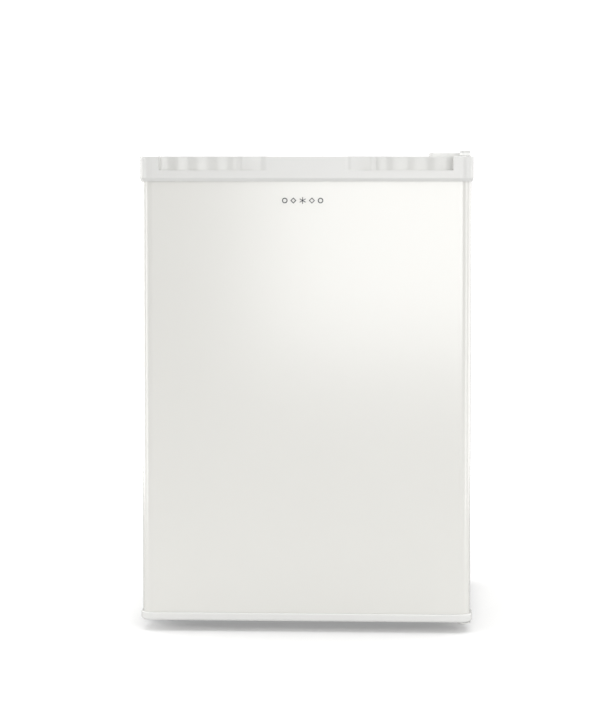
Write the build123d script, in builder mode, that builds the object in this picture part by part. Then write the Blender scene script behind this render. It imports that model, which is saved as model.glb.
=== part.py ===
"""A compact single-door refrigerator with a small freezer box, built as the real one comes apart on a bench.

Frame: millimetres, +Z up. The origin is on the floor, under the middle of the whole cabinet. The door faces -Y
and hangs on the right, at +X. The compressor and the condenser grid are at the back, at +Y.
"""

import os
from math import atan2, tan

from build123d import *

os.makedirs("parts", exist_ok=True)

# Overall envelope
HALF_WIDTH = 220.0
FRONT_Y = -230.0
REAR_Y = 230.0

# Cabinet
CABINET_HALF = 218.0
CABINET_FRONT = -177.0
CABINET_BACK = 200.0
CABINET_BOTTOM = 22.0
CABINET_TOP = 628.0
CABINET_CORNER = 5.0
SHEET = 0.6
FLANGE = 30.0
PAN_SHEET = 0.8
RISER_Y = 48.0
ENGINE_TOP = 190.0

# Food compartment, as the inside faces of the plastic liner
LINER = 1.5
CAVITY_HALF = 182.0
CAVITY_FLOOR = 58.0
CAVITY_TOP = 592.0
CAVITY_BACK = 158.0
HUMP_FRONT = 12.0
HUMP_TOP = 226.0
LEDGE_TOPS = (234.0, 284.0, 334.0, 440.0)
LEDGE_INNER = 176.0

# Door
DOOR_BOTTOM = 14.5
DOOR_TOP = 629.5
TOP_CAP_BOTTOM = DOOR_TOP - 33.0
BOTTOM_CAP_TOP = DOOR_BOTTOM + 11.0
CAP_BACK = -187.7
CAP_WALL = 2.2
CAP_CORNER = 18.0
SKIN_HALF = 217.4
SKIN_FRONT = FRONT_Y + 2.6
SKIN_BACK = CAP_BACK
SKIN_SHEET = 0.7
SKIN_CORNER = 15.4
SKIN_TUCK = 3.5
DOOR_LINER_FRONT = -187.5
DOOR_LINER_BACK = -186.0
DYKE_HALF = 172.0
DYKE_BOTTOM = 70.0
DYKE_TOP = 580.0
DYKE_WIDTH = 24.0
DYKE_BACK = -158.0
GASKET_BACK = -177.3

# Hinge line of the door
HINGE_X = 209.0
HINGE_Y = -208.0
PIN_RADIUS = 3.5
BUSH_BORE = 3.56
BUSH_RADIUS = 5.5
BUSH_FLANGE = 7.5

# Grip pockets in the top cap
ROLL_DEPTH = 1.5
ROLL_HEIGHT = 4.2
GRIP_OUTER = 193.5
GRIP_INNER = 86.0
GRIP_SWEEP = 30.0
GRIP_DEPTH = 20.0
GRIP_HOLLOW = 7.0
GRIP_ROUND = 16.0
GRIP_BACK = FRONT_Y + GRIP_DEPTH
GRIP_CORNER = 5.0
LIP_TOP = DOOR_TOP - 18.5
LIP_THICKNESS = 4.0
WELL_INNER = 72.0
WELL_FLOOR = TOP_CAP_BOTTOM + 6.5

# Freezer box
FREEZER_HALF = 165.0
FREEZER_FRONT = -34.0
FREEZER_REAR = 150.0
FREEZER_BOTTOM = 466.0
FREEZER_TOP = 582.0
FREEZER_SHEET = 1.6
FLAP_AXIS_Y = -45.0
FLAP_AXIS_Z = 574.0
FLAP_HALF = 160.0
FLAP_THICKNESS = 10.0
FLAP_PIN = 2.4

# Thermostat dial
DIAL_X = 164.0
DIAL_Z = 378.0

# Refrigeration circuit
COMPRESSOR_X = 20.0
COMPRESSOR_Y = 122.0
COMPRESSOR_RADIUS = 60.0
MOUNT_HALF_X = 76.0
MOUNT_HALF_Y = 46.0
CONDENSER_Y = 220.0
CONDENSER_HALF = 186.0
CONDENSER_BOTTOM = 236.0
CONDENSER_TOP = 596.0
TUBE_RADIUS = 2.4
WIRE_RADIUS = 0.8

# Screw positions: (x, y) on the hinges, (x, z) on the back
TOP_SCREWS = ((178, -160), (178, -143), (205, -143))
BOTTOM_SCREWS = ((178, -162), (178, -118), (208, -118))
PANEL_POINTS = [(x, z) for x in (-200, 0, 200) for z in (ENGINE_TOP + 22, CABINET_TOP - 18)]
CLIP_POINTS = [(x, z) for x in (-176, 176) for z in (CONDENSER_BOTTOM + 15, CONDENSER_TOP - 15)]

# Feet
FOOT_X = 192.0
FOOT_Y = -130.0
REAR_FOOT_X = 190.0
REAR_FOOT_Y = 176.0


# ---------------------------------------------------------------- helpers


def save(piece, name):
    """Labels a finished piece and writes it as a STEP file of that name."""
    piece.part.label = name
    export_step(piece.part, f"parts/{name}.step")


def block(x, y, z, mode=Mode.ADD):
    """A box between two limits along each axis."""
    with Locations((sum(x) / 2, sum(y) / 2, sum(z) / 2)):
        Box(x[1] - x[0], y[1] - y[0], z[1] - z[0], mode=mode)


def rod(radius, start, end, mode=Mode.ADD):
    """A round bar from one point to another."""
    run = Vector(*end) - Vector(*start)
    with Locations(Plane(origin=start, z_dir=run)):
        Cylinder(radius, run.length, align=(Align.CENTER, Align.CENTER, Align.MIN), mode=mode)


def pipe(radius, points, bend):
    """A round tube along straight runs that are joined by tangent arcs."""
    with BuildLine():
        route = FilletPolyline(*points, radius=bend)
    with BuildSketch(Plane(origin=route @ 0, z_dir=route % 0)) as section:
        Circle(radius)
    sweep(section.sketch, path=route)


def arch(half_width, open_end, closed_end, radius, mode=Mode.ADD):
    """A face with square corners at its open end and rounded ones at its closed end."""
    with BuildLine() as outline:
        FilletPolyline(
            (-half_width, open_end),
            (-half_width, closed_end),
            (half_width, closed_end),
            (half_width, open_end),
            radius=radius,
        )
        Line((half_width, open_end), (-half_width, open_end))
    make_face(outline.edges(), mode=mode)


def frame_face(half_width, low, high, band, radius):
    """A rectangular ring of constant band width, with rounded corners."""
    with Locations((0, (low + high) / 2)):
        RectangleRounded(2 * half_width, high - low, radius)
        RectangleRounded(2 * (half_width - band), high - low - 2 * band, max(radius - band, 1), mode=Mode.SUBTRACT)


def upright(y):
    """A vertical plane across the cabinet at that depth. Its X is X and its Y is Z; it extrudes backwards."""
    return Plane.XZ.offset(-y)


def spread(points, mode=Mode.ADD):
    """A closed face through straight edges."""
    with BuildLine() as outline:
        Polyline(*points, close=True)
    make_face(outline.edges(), mode=mode)


def panel_screw_holes(depth):
    """Bores for the screws in the back, that deep below the panel's outer face."""
    for x, z in PANEL_POINTS + CLIP_POINTS:
        rod(1.8, (x, CABINET_BACK - depth, z), (x, CABINET_BACK + 3, z), mode=Mode.SUBTRACT)


def hinge_screw_holes(points, low, high):
    """Bores for the hinge screws between two heights."""
    for x, y in points:
        rod(2.5, (x, y, low), (x, y, high), mode=Mode.SUBTRACT)


# ---------------------------------------------------------------- cabinet: casing, base, insulation

with BuildPart() as cabinet_shell:  # one sheet wraps the left side, the top and the right side
    with BuildSketch(upright(CABINET_FRONT)):
        arch(CABINET_HALF, CABINET_BOTTOM, CABINET_TOP, CABINET_CORNER)
        arch(
            CABINET_HALF - SHEET,
            CABINET_BOTTOM - 1,
            CABINET_TOP - SHEET,
            CABINET_CORNER - SHEET,
            mode=Mode.SUBTRACT,
        )
    extrude(amount=-(CABINET_BACK - CABINET_FRONT))
    with BuildSketch(upright(CABINET_FRONT)):  # the face that the door seal pulls onto
        arch(CABINET_HALF, CABINET_BOTTOM, CABINET_TOP, CABINET_CORNER)
        arch(CABINET_HALF - FLANGE, CABINET_BOTTOM - 1, CABINET_TOP - FLANGE, 0.5, mode=Mode.SUBTRACT)
    extrude(amount=-SHEET)
    hinge_screw_holes(TOP_SCREWS, CABINET_TOP - 14, CABINET_TOP + 1)
save(cabinet_shell, "cabinet_shell")

PAN_HALF = CABINET_HALF - SHEET - 0.2
PAN_FRONT = CABINET_FRONT + PAN_SHEET
FRONT_RAIL_TOP = CAVITY_FLOOR - 6

with BuildPart() as base_pan:  # floor, riser and shelf of the engine bay, bent from one sheet
    with BuildSketch(Plane.YZ):
        spread(
            [
                (PAN_FRONT, CABINET_BOTTOM),
                (RISER_Y, CABINET_BOTTOM),
                (RISER_Y, ENGINE_TOP),
                (CABINET_BACK, ENGINE_TOP),
                (CABINET_BACK, ENGINE_TOP + PAN_SHEET),
                (RISER_Y - PAN_SHEET, ENGINE_TOP + PAN_SHEET),
                (RISER_Y - PAN_SHEET, CABINET_BOTTOM + PAN_SHEET),
                (PAN_FRONT, CABINET_BOTTOM + PAN_SHEET),
            ]
        )
    extrude(amount=PAN_HALF, both=True)
    block(
        (-CABINET_HALF + FLANGE + 0.2, CABINET_HALF - FLANGE - 0.2),
        (CABINET_FRONT, PAN_FRONT),
        (CABINET_BOTTOM, FRONT_RAIL_TOP),
    )
    for side in (-1, 1):
        rod(4.3, (side * FOOT_X, FOOT_Y, 0), (side * FOOT_X, FOOT_Y, 40), mode=Mode.SUBTRACT)
    hinge_screw_holes(BOTTOM_SCREWS, 0, CABINET_BOTTOM + 14)
save(base_pan, "base_pan")

PANEL_FRONT = CABINET_BACK - PAN_SHEET

with BuildPart() as back_panel:
    block((-PAN_HALF, PAN_HALF), (PANEL_FRONT, CABINET_BACK), (ENGINE_TOP + 1, CABINET_TOP - 1))
    fillet(back_panel.edges().filter_by(Axis.Y).group_by(Axis.Z)[-1], 6)
    for z in (ENGINE_TOP + 60, CABINET_TOP - 60):  # pressed stiffening beads
        block((-150, 150), (CABINET_BACK, CABINET_BACK + 1.2), (z - 6, z + 6))
    panel_screw_holes(2)
save(back_panel, "back_panel")


def cavity_side(grow):
    """Side outline of the food compartment, moved outwards by grow."""
    floor, roof = CAVITY_FLOOR - grow, CAVITY_TOP + grow
    step, top_of_step, back = HUMP_FRONT + grow, HUMP_TOP - grow, CAVITY_BACK + grow
    with BuildLine() as outline:
        FilletPolyline(
            (CABINET_FRONT, floor),
            (step, floor),
            (step, top_of_step),
            (back, top_of_step),
            (back, roof),
            (CABINET_FRONT, roof),
            radius=[10 + grow, 10 - grow, 10 + grow, 10 + grow],
        )
        Line((CABINET_FRONT, roof), (CABINET_FRONT, floor))
    make_face(outline.edges())


LINER_EDGE_HALF = CABINET_HALF - FLANGE - 0.2

with BuildPart() as inner_liner:  # one vacuum-formed tub with moulded shelf ledges and a step over the compressor
    with BuildSketch(Plane.YZ):
        cavity_side(LINER)
    extrude(amount=CAVITY_HALF + LINER, both=True)
    block(
        (-LINER_EDGE_HALF, LINER_EDGE_HALF),
        (CABINET_FRONT, CABINET_FRONT + LINER),
        (FRONT_RAIL_TOP + 0.2, CABINET_TOP - FLANGE - 0.2),
    )
    with BuildSketch(Plane.YZ):
        cavity_side(0)
    extrude(amount=CAVITY_HALF, both=True, mode=Mode.SUBTRACT)
    for top in LEDGE_TOPS:
        for side in (-1, 1):
            edges = sorted((side * LEDGE_INNER, side * CAVITY_HALF))
            block(edges, (-150, 140), (top - 5, top))
save(inner_liner, "inner_liner")

SOCKET_RADIUS = 8.0
SOCKET_TOP = 52.0

with BuildPart() as cabinet_foam:  # rigid foam, poured between the casing and the liner
    with BuildSketch(Plane.YZ):
        spread(
            [
                (CABINET_FRONT + LINER + 0.1, CABINET_BOTTOM + PAN_SHEET),
                (RISER_Y - PAN_SHEET, CABINET_BOTTOM + PAN_SHEET),
                (RISER_Y - PAN_SHEET, ENGINE_TOP + PAN_SHEET),
                (PANEL_FRONT, ENGINE_TOP + PAN_SHEET),
                (PANEL_FRONT, CABINET_TOP - SHEET),
                (CABINET_FRONT + LINER + 0.1, CABINET_TOP - SHEET),
            ]
        )
    extrude(amount=CABINET_HALF - SHEET, both=True)
    fillet(
        cabinet_foam.edges().filter_by(Axis.Y).group_by(Axis.Z)[-1],
        CABINET_CORNER - SHEET,
    )
    with BuildSketch(Plane.YZ):
        cavity_side(LINER)
    extrude(amount=CAVITY_HALF + LINER, both=True, mode=Mode.SUBTRACT)
    for side in (-1, 1):
        rod(
            SOCKET_RADIUS,
            (side * FOOT_X, FOOT_Y, CABINET_BOTTOM),
            (side * FOOT_X, FOOT_Y, SOCKET_TOP),
            mode=Mode.SUBTRACT,
        )
    hinge_screw_holes(TOP_SCREWS, CABINET_TOP - 14, CABINET_TOP)
    hinge_screw_holes(BOTTOM_SCREWS, CABINET_BOTTOM, CABINET_BOTTOM + 14)
    panel_screw_holes(9)
save(cabinet_foam, "cabinet_foam")

with BuildPart() as engine_plate:  # cross member that carries the compressor and the rear feet
    block((-PAN_HALF, PAN_HALF), (58, 190), (CABINET_BOTTOM, CABINET_BOTTOM + 2))
    for y in (58, 188):
        block((-PAN_HALF, PAN_HALF), (y, y + 2), (CABINET_BOTTOM, CABINET_BOTTOM + 10))
    with Locations((COMPRESSOR_X, COMPRESSOR_Y, CABINET_BOTTOM)):
        with GridLocations(2 * MOUNT_HALF_X, 2 * MOUNT_HALF_Y, 2, 2):
            Cylinder(3, 10, mode=Mode.SUBTRACT)
save(engine_plate, "engine_plate")

with BuildPart() as wall_spacers:  # plastic bumpers that keep the condenser off the wall
    for side in (-1, 1):
        edges = sorted((side * 158, side * 176))
        block(edges, (CABINET_BACK, REAR_Y), (603, 625))
    fillet(wall_spacers.edges().filter_by(Axis.Z), 3)
save(wall_spacers, "wall_spacers")

# ---------------------------------------------------------------- feet


def levelling_foot(side, name):
    """A screw foot: a ribbed disc moulded round a threaded stem."""
    x = side * FOOT_X
    with BuildPart() as foot:
        rod(15, (x, FOOT_Y, 0), (x, FOOT_Y, 9))
        chamfer(foot.edges().filter_by(GeomType.CIRCLE).group_by(Axis.Z)[0], 2)
        with BuildSketch(Plane.XY.offset(2)):
            with Locations((x, FOOT_Y)):
                with PolarLocations(15, 20):
                    Circle(1.1)
        extrude(amount=7, mode=Mode.SUBTRACT)
        rod(8, (x, FOOT_Y, 9), (x, FOOT_Y, 12))
        rod(4, (x, FOOT_Y, 12), (x, FOOT_Y, 46))
    save(foot, name)


levelling_foot(-1, "front_left_foot")
levelling_foot(1, "front_right_foot")

with BuildPart() as foot_sockets:  # threaded sleeves, crimped into the base
    for side in (-1, 1):
        x = side * FOOT_X
        rod(SOCKET_RADIUS, (x, FOOT_Y, CABINET_BOTTOM + PAN_SHEET), (x, FOOT_Y, SOCKET_TOP))
        rod(4.06, (x, FOOT_Y, CABINET_BOTTOM), (x, FOOT_Y, SOCKET_TOP - 2), mode=Mode.SUBTRACT)
save(foot_sockets, "foot_sockets")

with BuildPart() as rear_feet:
    for side in (-1, 1):
        x = side * REAR_FOOT_X
        rod(13, (x, REAR_FOOT_Y - 6, 0), (x, REAR_FOOT_Y - 6, CABINET_BOTTOM))
    chamfer(rear_feet.edges().filter_by(GeomType.CIRCLE).group_by(Axis.Z)[0], 2)
save(rear_feet, "rear_feet")

# ---------------------------------------------------------------- door: caps, skin, insulation, liner, seal


def grip_outline(grow, front):
    """Plan of the right-hand grip pocket, moved outwards by grow: a straight back and a slope out to the face."""
    back = GRIP_BACK + grow
    outer = GRIP_OUTER + grow
    slope = atan2(GRIP_DEPTH, GRIP_SWEEP)
    inner = GRIP_INNER - grow * tan(slope / 2)
    face = inner - (back - FRONT_Y) / tan(slope)
    with BuildLine() as outline:
        FilletPolyline(
            (outer, front),
            (outer, back),
            (inner, back),
            (face, FRONT_Y),
            (face - 30, FRONT_Y),
            radius=[GRIP_CORNER + grow, GRIP_HOLLOW + grow, GRIP_ROUND - grow],
        )
        Polyline((face - 30, FRONT_Y), (face - 30, front), (outer, front))
    make_face(outline.edges())


with BuildPart() as door_top_cap:
    with BuildSketch(Plane.XY.offset(TOP_CAP_BOTTOM)):
        arch(HALF_WIDTH, CAP_BACK, FRONT_Y, CAP_CORNER)
    extrude(amount=DOOR_TOP - TOP_CAP_BOTTOM)
    rim = door_top_cap.faces().sort_by(Axis.Z)
    lower_edges = rim[0].edges() - rim[0].edges().group_by(Axis.Y)[-1]
    chamfer(lower_edges, ROLL_DEPTH, ROLL_HEIGHT, reference=rim[0])
    rim = door_top_cap.faces().sort_by(Axis.Z)
    fillet(rim[-1].edges() - rim[-1].edges().group_by(Axis.Y)[-1], 1.2)
    with BuildSketch(Plane.XY.offset(TOP_CAP_BOTTOM - 1)):  # moulded hollow, open below
        arch(HALF_WIDTH - CAP_WALL, CAP_BACK - CAP_WALL, FRONT_Y + CAP_WALL, CAP_CORNER - CAP_WALL)
    extrude(amount=DOOR_TOP - TOP_CAP_BOTTOM + 1 - 2.5, mode=Mode.SUBTRACT)
    with BuildSketch(Plane.XY.offset(WELL_FLOOR - CAP_WALL)):  # walls round the two pockets
        grip_outline(CAP_WALL, FRONT_Y - 5)
        mirror(about=Plane.YZ)
        arch(HALF_WIDTH - 1, CAP_BACK - 1, FRONT_Y + 1, CAP_CORNER - 1, mode=Mode.INTERSECT)
    extrude(amount=DOOR_TOP - 1.2 - WELL_FLOOR + CAP_WALL)
    for side in (-1, 1):  # bosses for the hinge bush and the plug
        rod(7.5, (side * HINGE_X, HINGE_Y, DOOR_TOP - 26), (side * HINGE_X, HINGE_Y, DOOR_TOP - 1))
        rod(BUSH_RADIUS, (side * HINGE_X, HINGE_Y, DOOR_TOP - 24), (side * HINGE_X, HINGE_Y, DOOR_TOP + 1), mode=Mode.SUBTRACT)
        rod(BUSH_FLANGE, (side * HINGE_X, HINGE_Y, DOOR_TOP - 1), (side * HINGE_X, HINGE_Y, DOOR_TOP + 1), mode=Mode.SUBTRACT)
    with BuildSketch(Plane.XY.offset(LIP_TOP)):  # open front, above the lip
        grip_outline(0, FRONT_Y - 5)
        mirror(about=Plane.YZ)
    extrude(amount=DOOR_TOP - LIP_TOP + 1, mode=Mode.SUBTRACT)
    with BuildSketch(Plane.XY.offset(WELL_FLOOR)):  # finger well behind the lip
        grip_outline(0, FRONT_Y - 5)
        with Locations(((WELL_INNER + HALF_WIDTH) / 2, FRONT_Y + LIP_THICKNESS + 20)):
            Rectangle(HALF_WIDTH - WELL_INNER, 40, mode=Mode.INTERSECT)
        mirror(about=Plane.YZ)
    extrude(amount=LIP_TOP - WELL_FLOOR + 1, mode=Mode.SUBTRACT)
save(door_top_cap, "door_top_cap")

with BuildPart() as door_bottom_cap:
    with BuildSketch(Plane.XY.offset(DOOR_BOTTOM)):
        arch(HALF_WIDTH, CAP_BACK, FRONT_Y, CAP_CORNER)
    extrude(amount=BOTTOM_CAP_TOP - DOOR_BOTTOM)
    rim = door_bottom_cap.faces().sort_by(Axis.Z)
    fillet(rim[0].edges() - rim[0].edges().group_by(Axis.Y)[-1], 3.5)
    rim = door_bottom_cap.faces().sort_by(Axis.Z)
    fillet(rim[-1].edges() - rim[-1].edges().group_by(Axis.Y)[-1], 1.6)
    with BuildSketch(Plane.XY.offset(DOOR_BOTTOM + 4.5)):
        arch(HALF_WIDTH - CAP_WALL, CAP_BACK - CAP_WALL, FRONT_Y + CAP_WALL, CAP_CORNER - CAP_WALL)
    extrude(amount=BOTTOM_CAP_TOP - DOOR_BOTTOM, mode=Mode.SUBTRACT)
    for side in (-1, 1):
        rod(7.5, (side * HINGE_X, HINGE_Y, DOOR_BOTTOM + 3), (side * HINGE_X, HINGE_Y, DOOR_BOTTOM + 24))
        rod(BUSH_RADIUS, (side * HINGE_X, HINGE_Y, DOOR_BOTTOM - 1), (side * HINGE_X, HINGE_Y, DOOR_BOTTOM + 22), mode=Mode.SUBTRACT)
        rod(BUSH_FLANGE, (side * HINGE_X, HINGE_Y, DOOR_BOTTOM - 1), (side * HINGE_X, HINGE_Y, DOOR_BOTTOM + 1), mode=Mode.SUBTRACT)
save(door_bottom_cap, "door_bottom_cap")

SKIN_BOTTOM = BOTTOM_CAP_TOP - SKIN_TUCK
SKIN_TOP = TOP_CAP_BOTTOM + SKIN_TUCK

with BuildPart() as door_skin:  # pre-painted sheet with rolled edges, tucked into both caps
    with BuildSketch(Plane.XY.offset(SKIN_BOTTOM)):
        arch(SKIN_HALF, SKIN_BACK, SKIN_FRONT, SKIN_CORNER)
        arch(
            SKIN_HALF - SKIN_SHEET,
            SKIN_BACK - SKIN_SHEET,
            SKIN_FRONT + SKIN_SHEET,
            SKIN_CORNER - SKIN_SHEET,
            mode=Mode.SUBTRACT,
        )
        with Locations((0, SKIN_BACK)):
            Rectangle(2 * (SKIN_HALF - 12), 4, mode=Mode.SUBTRACT)
    extrude(amount=SKIN_TOP - SKIN_BOTTOM)
    cap_back_wall = (CAP_BACK - CAP_WALL - 0.2, SKIN_BACK + 1)
    block((-HALF_WIDTH, HALF_WIDTH), cap_back_wall, (TOP_CAP_BOTTOM - 0.2, SKIN_TOP + 1), mode=Mode.SUBTRACT)
    block((-HALF_WIDTH, HALF_WIDTH), cap_back_wall, (SKIN_BOTTOM - 1, BOTTOM_CAP_TOP + 0.2), mode=Mode.SUBTRACT)
save(door_skin, "door_skin")

FOAM_BACK = SKIN_BACK - SKIN_SHEET - 0.1
DYKE_MID = (DYKE_BOTTOM + DYKE_TOP) / 2

with BuildPart() as door_foam:
    with BuildSketch(Plane.XY.offset(BOTTOM_CAP_TOP + 0.3)):
        arch(SKIN_HALF - SKIN_SHEET, FOAM_BACK, SKIN_FRONT + SKIN_SHEET, SKIN_CORNER - SKIN_SHEET)
    extrude(amount=TOP_CAP_BOTTOM - BOTTOM_CAP_TOP - 0.6)
    with BuildSketch(upright(FOAM_BACK)):
        frame_face(DYKE_HALF - LINER, DYKE_BOTTOM + LINER, DYKE_TOP - LINER, DYKE_WIDTH - 2 * LINER, 12 - LINER)
    extrude(amount=-(DYKE_BACK - LINER - FOAM_BACK))
    for side in (-1, 1):
        rod(7.8, (side * HINGE_X, HINGE_Y, DOOR_BOTTOM), (side * HINGE_X, HINGE_Y, DOOR_BOTTOM + 25), mode=Mode.SUBTRACT)
save(door_foam, "door_foam")

RACK_LUG_TOPS = (120.0, 290.0, 378.0)
LUG_HEIGHT = 18.0
LUG_Y = (-177.0, -165.0)
DYKE_INNER = DYKE_HALF - DYKE_WIDTH

with BuildPart() as door_liner:  # vacuum-formed inner face with a raised dyke and lugs for the racks
    block(
        (-SKIN_HALF + 1, SKIN_HALF - 1),
        (DOOR_LINER_FRONT, DOOR_LINER_BACK),
        (DOOR_BOTTOM + 2, DOOR_TOP - 2),
    )
    with BuildSketch(upright(DOOR_LINER_FRONT)):
        frame_face(DYKE_HALF, DYKE_BOTTOM, DYKE_TOP, DYKE_WIDTH, 12)
    extrude(amount=-(DYKE_BACK - DOOR_LINER_FRONT))
    with BuildSketch(upright(DOOR_LINER_FRONT - 1)):
        frame_face(DYKE_HALF - LINER, DYKE_BOTTOM + LINER, DYKE_TOP - LINER, DYKE_WIDTH - 2 * LINER, 12 - LINER)
    extrude(amount=-(DYKE_BACK - LINER - DOOR_LINER_FRONT + 1), mode=Mode.SUBTRACT)
    for top in RACK_LUG_TOPS:
        for side in (-1, 1):
            edges = sorted((side * (DYKE_INNER - 5), side * (DYKE_INNER + 0.5)))
            block(edges, LUG_Y, (top - LUG_HEIGHT, top))
save(door_liner, "door_liner")

GASKET_HALF = 205.0
GASKET_LOW = 27.0
GASKET_HIGH = 619.0
GASKET_BAND = 17.0
MAGNET_INSET = 4.5
MAGNET_BAND = 8.0

with BuildPart() as door_gasket:  # soft seal with a channel for the magnet strips
    with BuildSketch(upright(DOOR_LINER_BACK)):
        frame_face(GASKET_HALF, GASKET_LOW, GASKET_HIGH, GASKET_BAND, 5)
    extrude(amount=-(GASKET_BACK - DOOR_LINER_BACK))
    with BuildSketch(upright(DOOR_LINER_BACK)):
        frame_face(
            GASKET_HALF - MAGNET_INSET,
            GASKET_LOW + MAGNET_INSET,
            GASKET_HIGH - MAGNET_INSET,
            MAGNET_BAND,
            1.5,
        )
    extrude(amount=-(GASKET_BACK - DOOR_LINER_BACK - 1), mode=Mode.SUBTRACT)
save(door_gasket, "door_gasket")

with BuildPart() as gasket_magnets:  # four flexible magnet strips, one for each side of the seal
    inner = GASKET_HALF - MAGNET_INSET - MAGNET_BAND / 2
    low, high = GASKET_LOW + MAGNET_INSET + MAGNET_BAND / 2, GASKET_HIGH - MAGNET_INSET - MAGNET_BAND / 2
    depth = (GASKET_BACK - 4.2, GASKET_BACK - 1.2)
    for side in (-1, 1):
        edges = sorted((side * (inner - 3.2), side * (inner + 3.2)))
        block(edges, depth, (low + 8, high - 8))
    for z in (low, high):
        block((-inner + 8, inner - 8), depth, (z - 3.2, z + 3.2))
save(gasket_magnets, "gasket_magnets")

# ---------------------------------------------------------------- door: racks and small fittings

RACK_HALF = DYKE_INNER - 1.5
RACK_END = 7.0
RACK_FRONT = -184.5


def door_rack(lug_top, low, high, back, name):
    """An open rack that hangs on two lugs: floor, four walls and thick ends with a slot from below."""
    with BuildPart() as rack:
        block((-RACK_HALF, RACK_HALF), (RACK_FRONT, back), (low, high))
        fillet(rack.edges().filter_by(Axis.Z).group_by(Axis.Y)[-1], 10)
        with BuildSketch(Plane.XY.offset(low + 2.5)):
            middle = (RACK_FRONT + back) / 2
            with Locations((0, middle)):
                RectangleRounded(2 * (RACK_HALF - RACK_END), back - RACK_FRONT - 4.4, 6)
        extrude(amount=high - low, mode=Mode.SUBTRACT)
        for side in (-1, 1):
            edges = sorted((side * (DYKE_INNER - 5.4), side * (RACK_HALF + 1)))
            slot = (LUG_Y[0] - 0.4, LUG_Y[1] + 0.4)
            block(edges, slot, (low - 1, lug_top + 0.3), mode=Mode.SUBTRACT)
    save(rack, name)


door_rack(RACK_LUG_TOPS[0], 97, 165, -104, "bottle_rack")
door_rack(RACK_LUG_TOPS[1], 262, 312, -116, "middle_rack")
door_rack(RACK_LUG_TOPS[2], 350, 394, -116, "upper_rack")


with BuildPart() as hinge_bushes:  # plastic sleeves that turn on the hinge pins
    for end, inwards in ((DOOR_TOP, -1), (DOOR_BOTTOM, 1)):
        rod(BUSH_RADIUS, (HINGE_X, HINGE_Y, end), (HINGE_X, HINGE_Y, end + 21.5 * inwards))
        rod(BUSH_FLANGE, (HINGE_X, HINGE_Y, end), (HINGE_X, HINGE_Y, end + inwards))
        rod(BUSH_BORE, (HINGE_X, HINGE_Y, end - inwards), (HINGE_X, HINGE_Y, end + 23 * inwards), mode=Mode.SUBTRACT)
save(hinge_bushes, "hinge_bushes")

with BuildPart() as door_plugs:  # they close the hinge holes on the side without a hinge
    for end, inwards in ((DOOR_TOP, -1), (DOOR_BOTTOM, 1)):
        rod(BUSH_FLANGE - 0.1, (-HINGE_X, HINGE_Y, end), (-HINGE_X, HINGE_Y, end + inwards))
        rod(BUSH_RADIUS - 0.1, (-HINGE_X, HINGE_Y, end + inwards), (-HINGE_X, HINGE_Y, end + 12 * inwards))
save(door_plugs, "door_plugs")

EMBLEM_X = -4.0
EMBLEM_Z = 571.5

with BuildPart() as door_emblem:  # a plain row of marks: rings, diamonds and a snow crystal
    with BuildSketch(upright(SKIN_FRONT)):
        with Locations((EMBLEM_X, EMBLEM_Z)):
            for turn in (0, 60, 120):
                Rectangle(0.9, 9, rotation=turn)
        for side in (-1, 1):
            with Locations((EMBLEM_X + side * 12.2, EMBLEM_Z)):
                Rectangle(5.6, 5.6, rotation=45)
                Rectangle(3.6, 3.6, rotation=45, mode=Mode.SUBTRACT)
            with Locations((EMBLEM_X + side * 23.5, EMBLEM_Z)):
                Circle(3.6)
                Circle(2.4, mode=Mode.SUBTRACT)
    extrude(amount=0.35)
save(door_emblem, "door_emblem")

# ---------------------------------------------------------------- hinges

BRACKET_TOP = CABINET_TOP + 2.2
ARM_TOP = BRACKET_TOP + 2.0

with BuildPart() as top_hinge_bracket:  # a plate on the cabinet with a raised arm that clears the door
    with BuildSketch(Plane.XY.offset(CABINET_TOP)):
        with Locations((189.5, -152)):
            RectangleRounded(50, 40, 4)
    extrude(amount=BRACKET_TOP - CABINET_TOP)
    with BuildSketch(Plane.XY.offset(BRACKET_TOP)):
        with Locations((HINGE_X, (HINGE_Y - 158) / 2)):
            Rectangle(11, -158 - HINGE_Y)
        with Locations((HINGE_X, HINGE_Y)):
            Circle(5.5)
    extrude(amount=ARM_TOP - BRACKET_TOP)
    rod(PIN_RADIUS, (HINGE_X, HINGE_Y, CABINET_TOP), (HINGE_X, HINGE_Y, ARM_TOP), mode=Mode.SUBTRACT)
    hinge_screw_holes(TOP_SCREWS, CABINET_TOP, BRACKET_TOP)
save(top_hinge_bracket, "top_hinge_bracket")


def cover_outline(grow):
    """Plan of the hinge cover, moved outwards by grow."""
    with Locations((189.5, -152)):
        RectangleRounded(53 + 2 * grow, 43 + 2 * grow, 5)
    with Locations((HINGE_X, (HINGE_Y - 150) / 2)):
        Rectangle(11.8 + 2 * grow, -150 - HINGE_Y)
    with Locations((HINGE_X, HINGE_Y)):
        Circle(5.9 + grow)


COVER_TOP = ARM_TOP + 2.4
COVER_WALL = 1.2

with BuildPart() as top_hinge_cover:
    with BuildSketch(Plane.XY.offset(CABINET_TOP)):
        cover_outline(COVER_WALL)
    extrude(amount=COVER_TOP - CABINET_TOP)
    fillet(top_hinge_cover.faces().sort_by(Axis.Z)[-1].edges(), 1.0)
    rod(6.6, (HINGE_X, HINGE_Y, CABINET_TOP), (HINGE_X, HINGE_Y, COVER_TOP + 2))
    fillet(top_hinge_cover.edges().group_by(Axis.Z)[-1], 0.8)
    with BuildSketch(Plane.XY.offset(CABINET_TOP)):
        cover_outline(0)
    extrude(amount=COVER_TOP - COVER_WALL - CABINET_TOP, mode=Mode.SUBTRACT)
    block((150, 230), (-230, CABINET_FRONT - 0.5), (CABINET_TOP - 1, BRACKET_TOP), mode=Mode.SUBTRACT)
save(top_hinge_cover, "top_hinge_cover")

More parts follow.
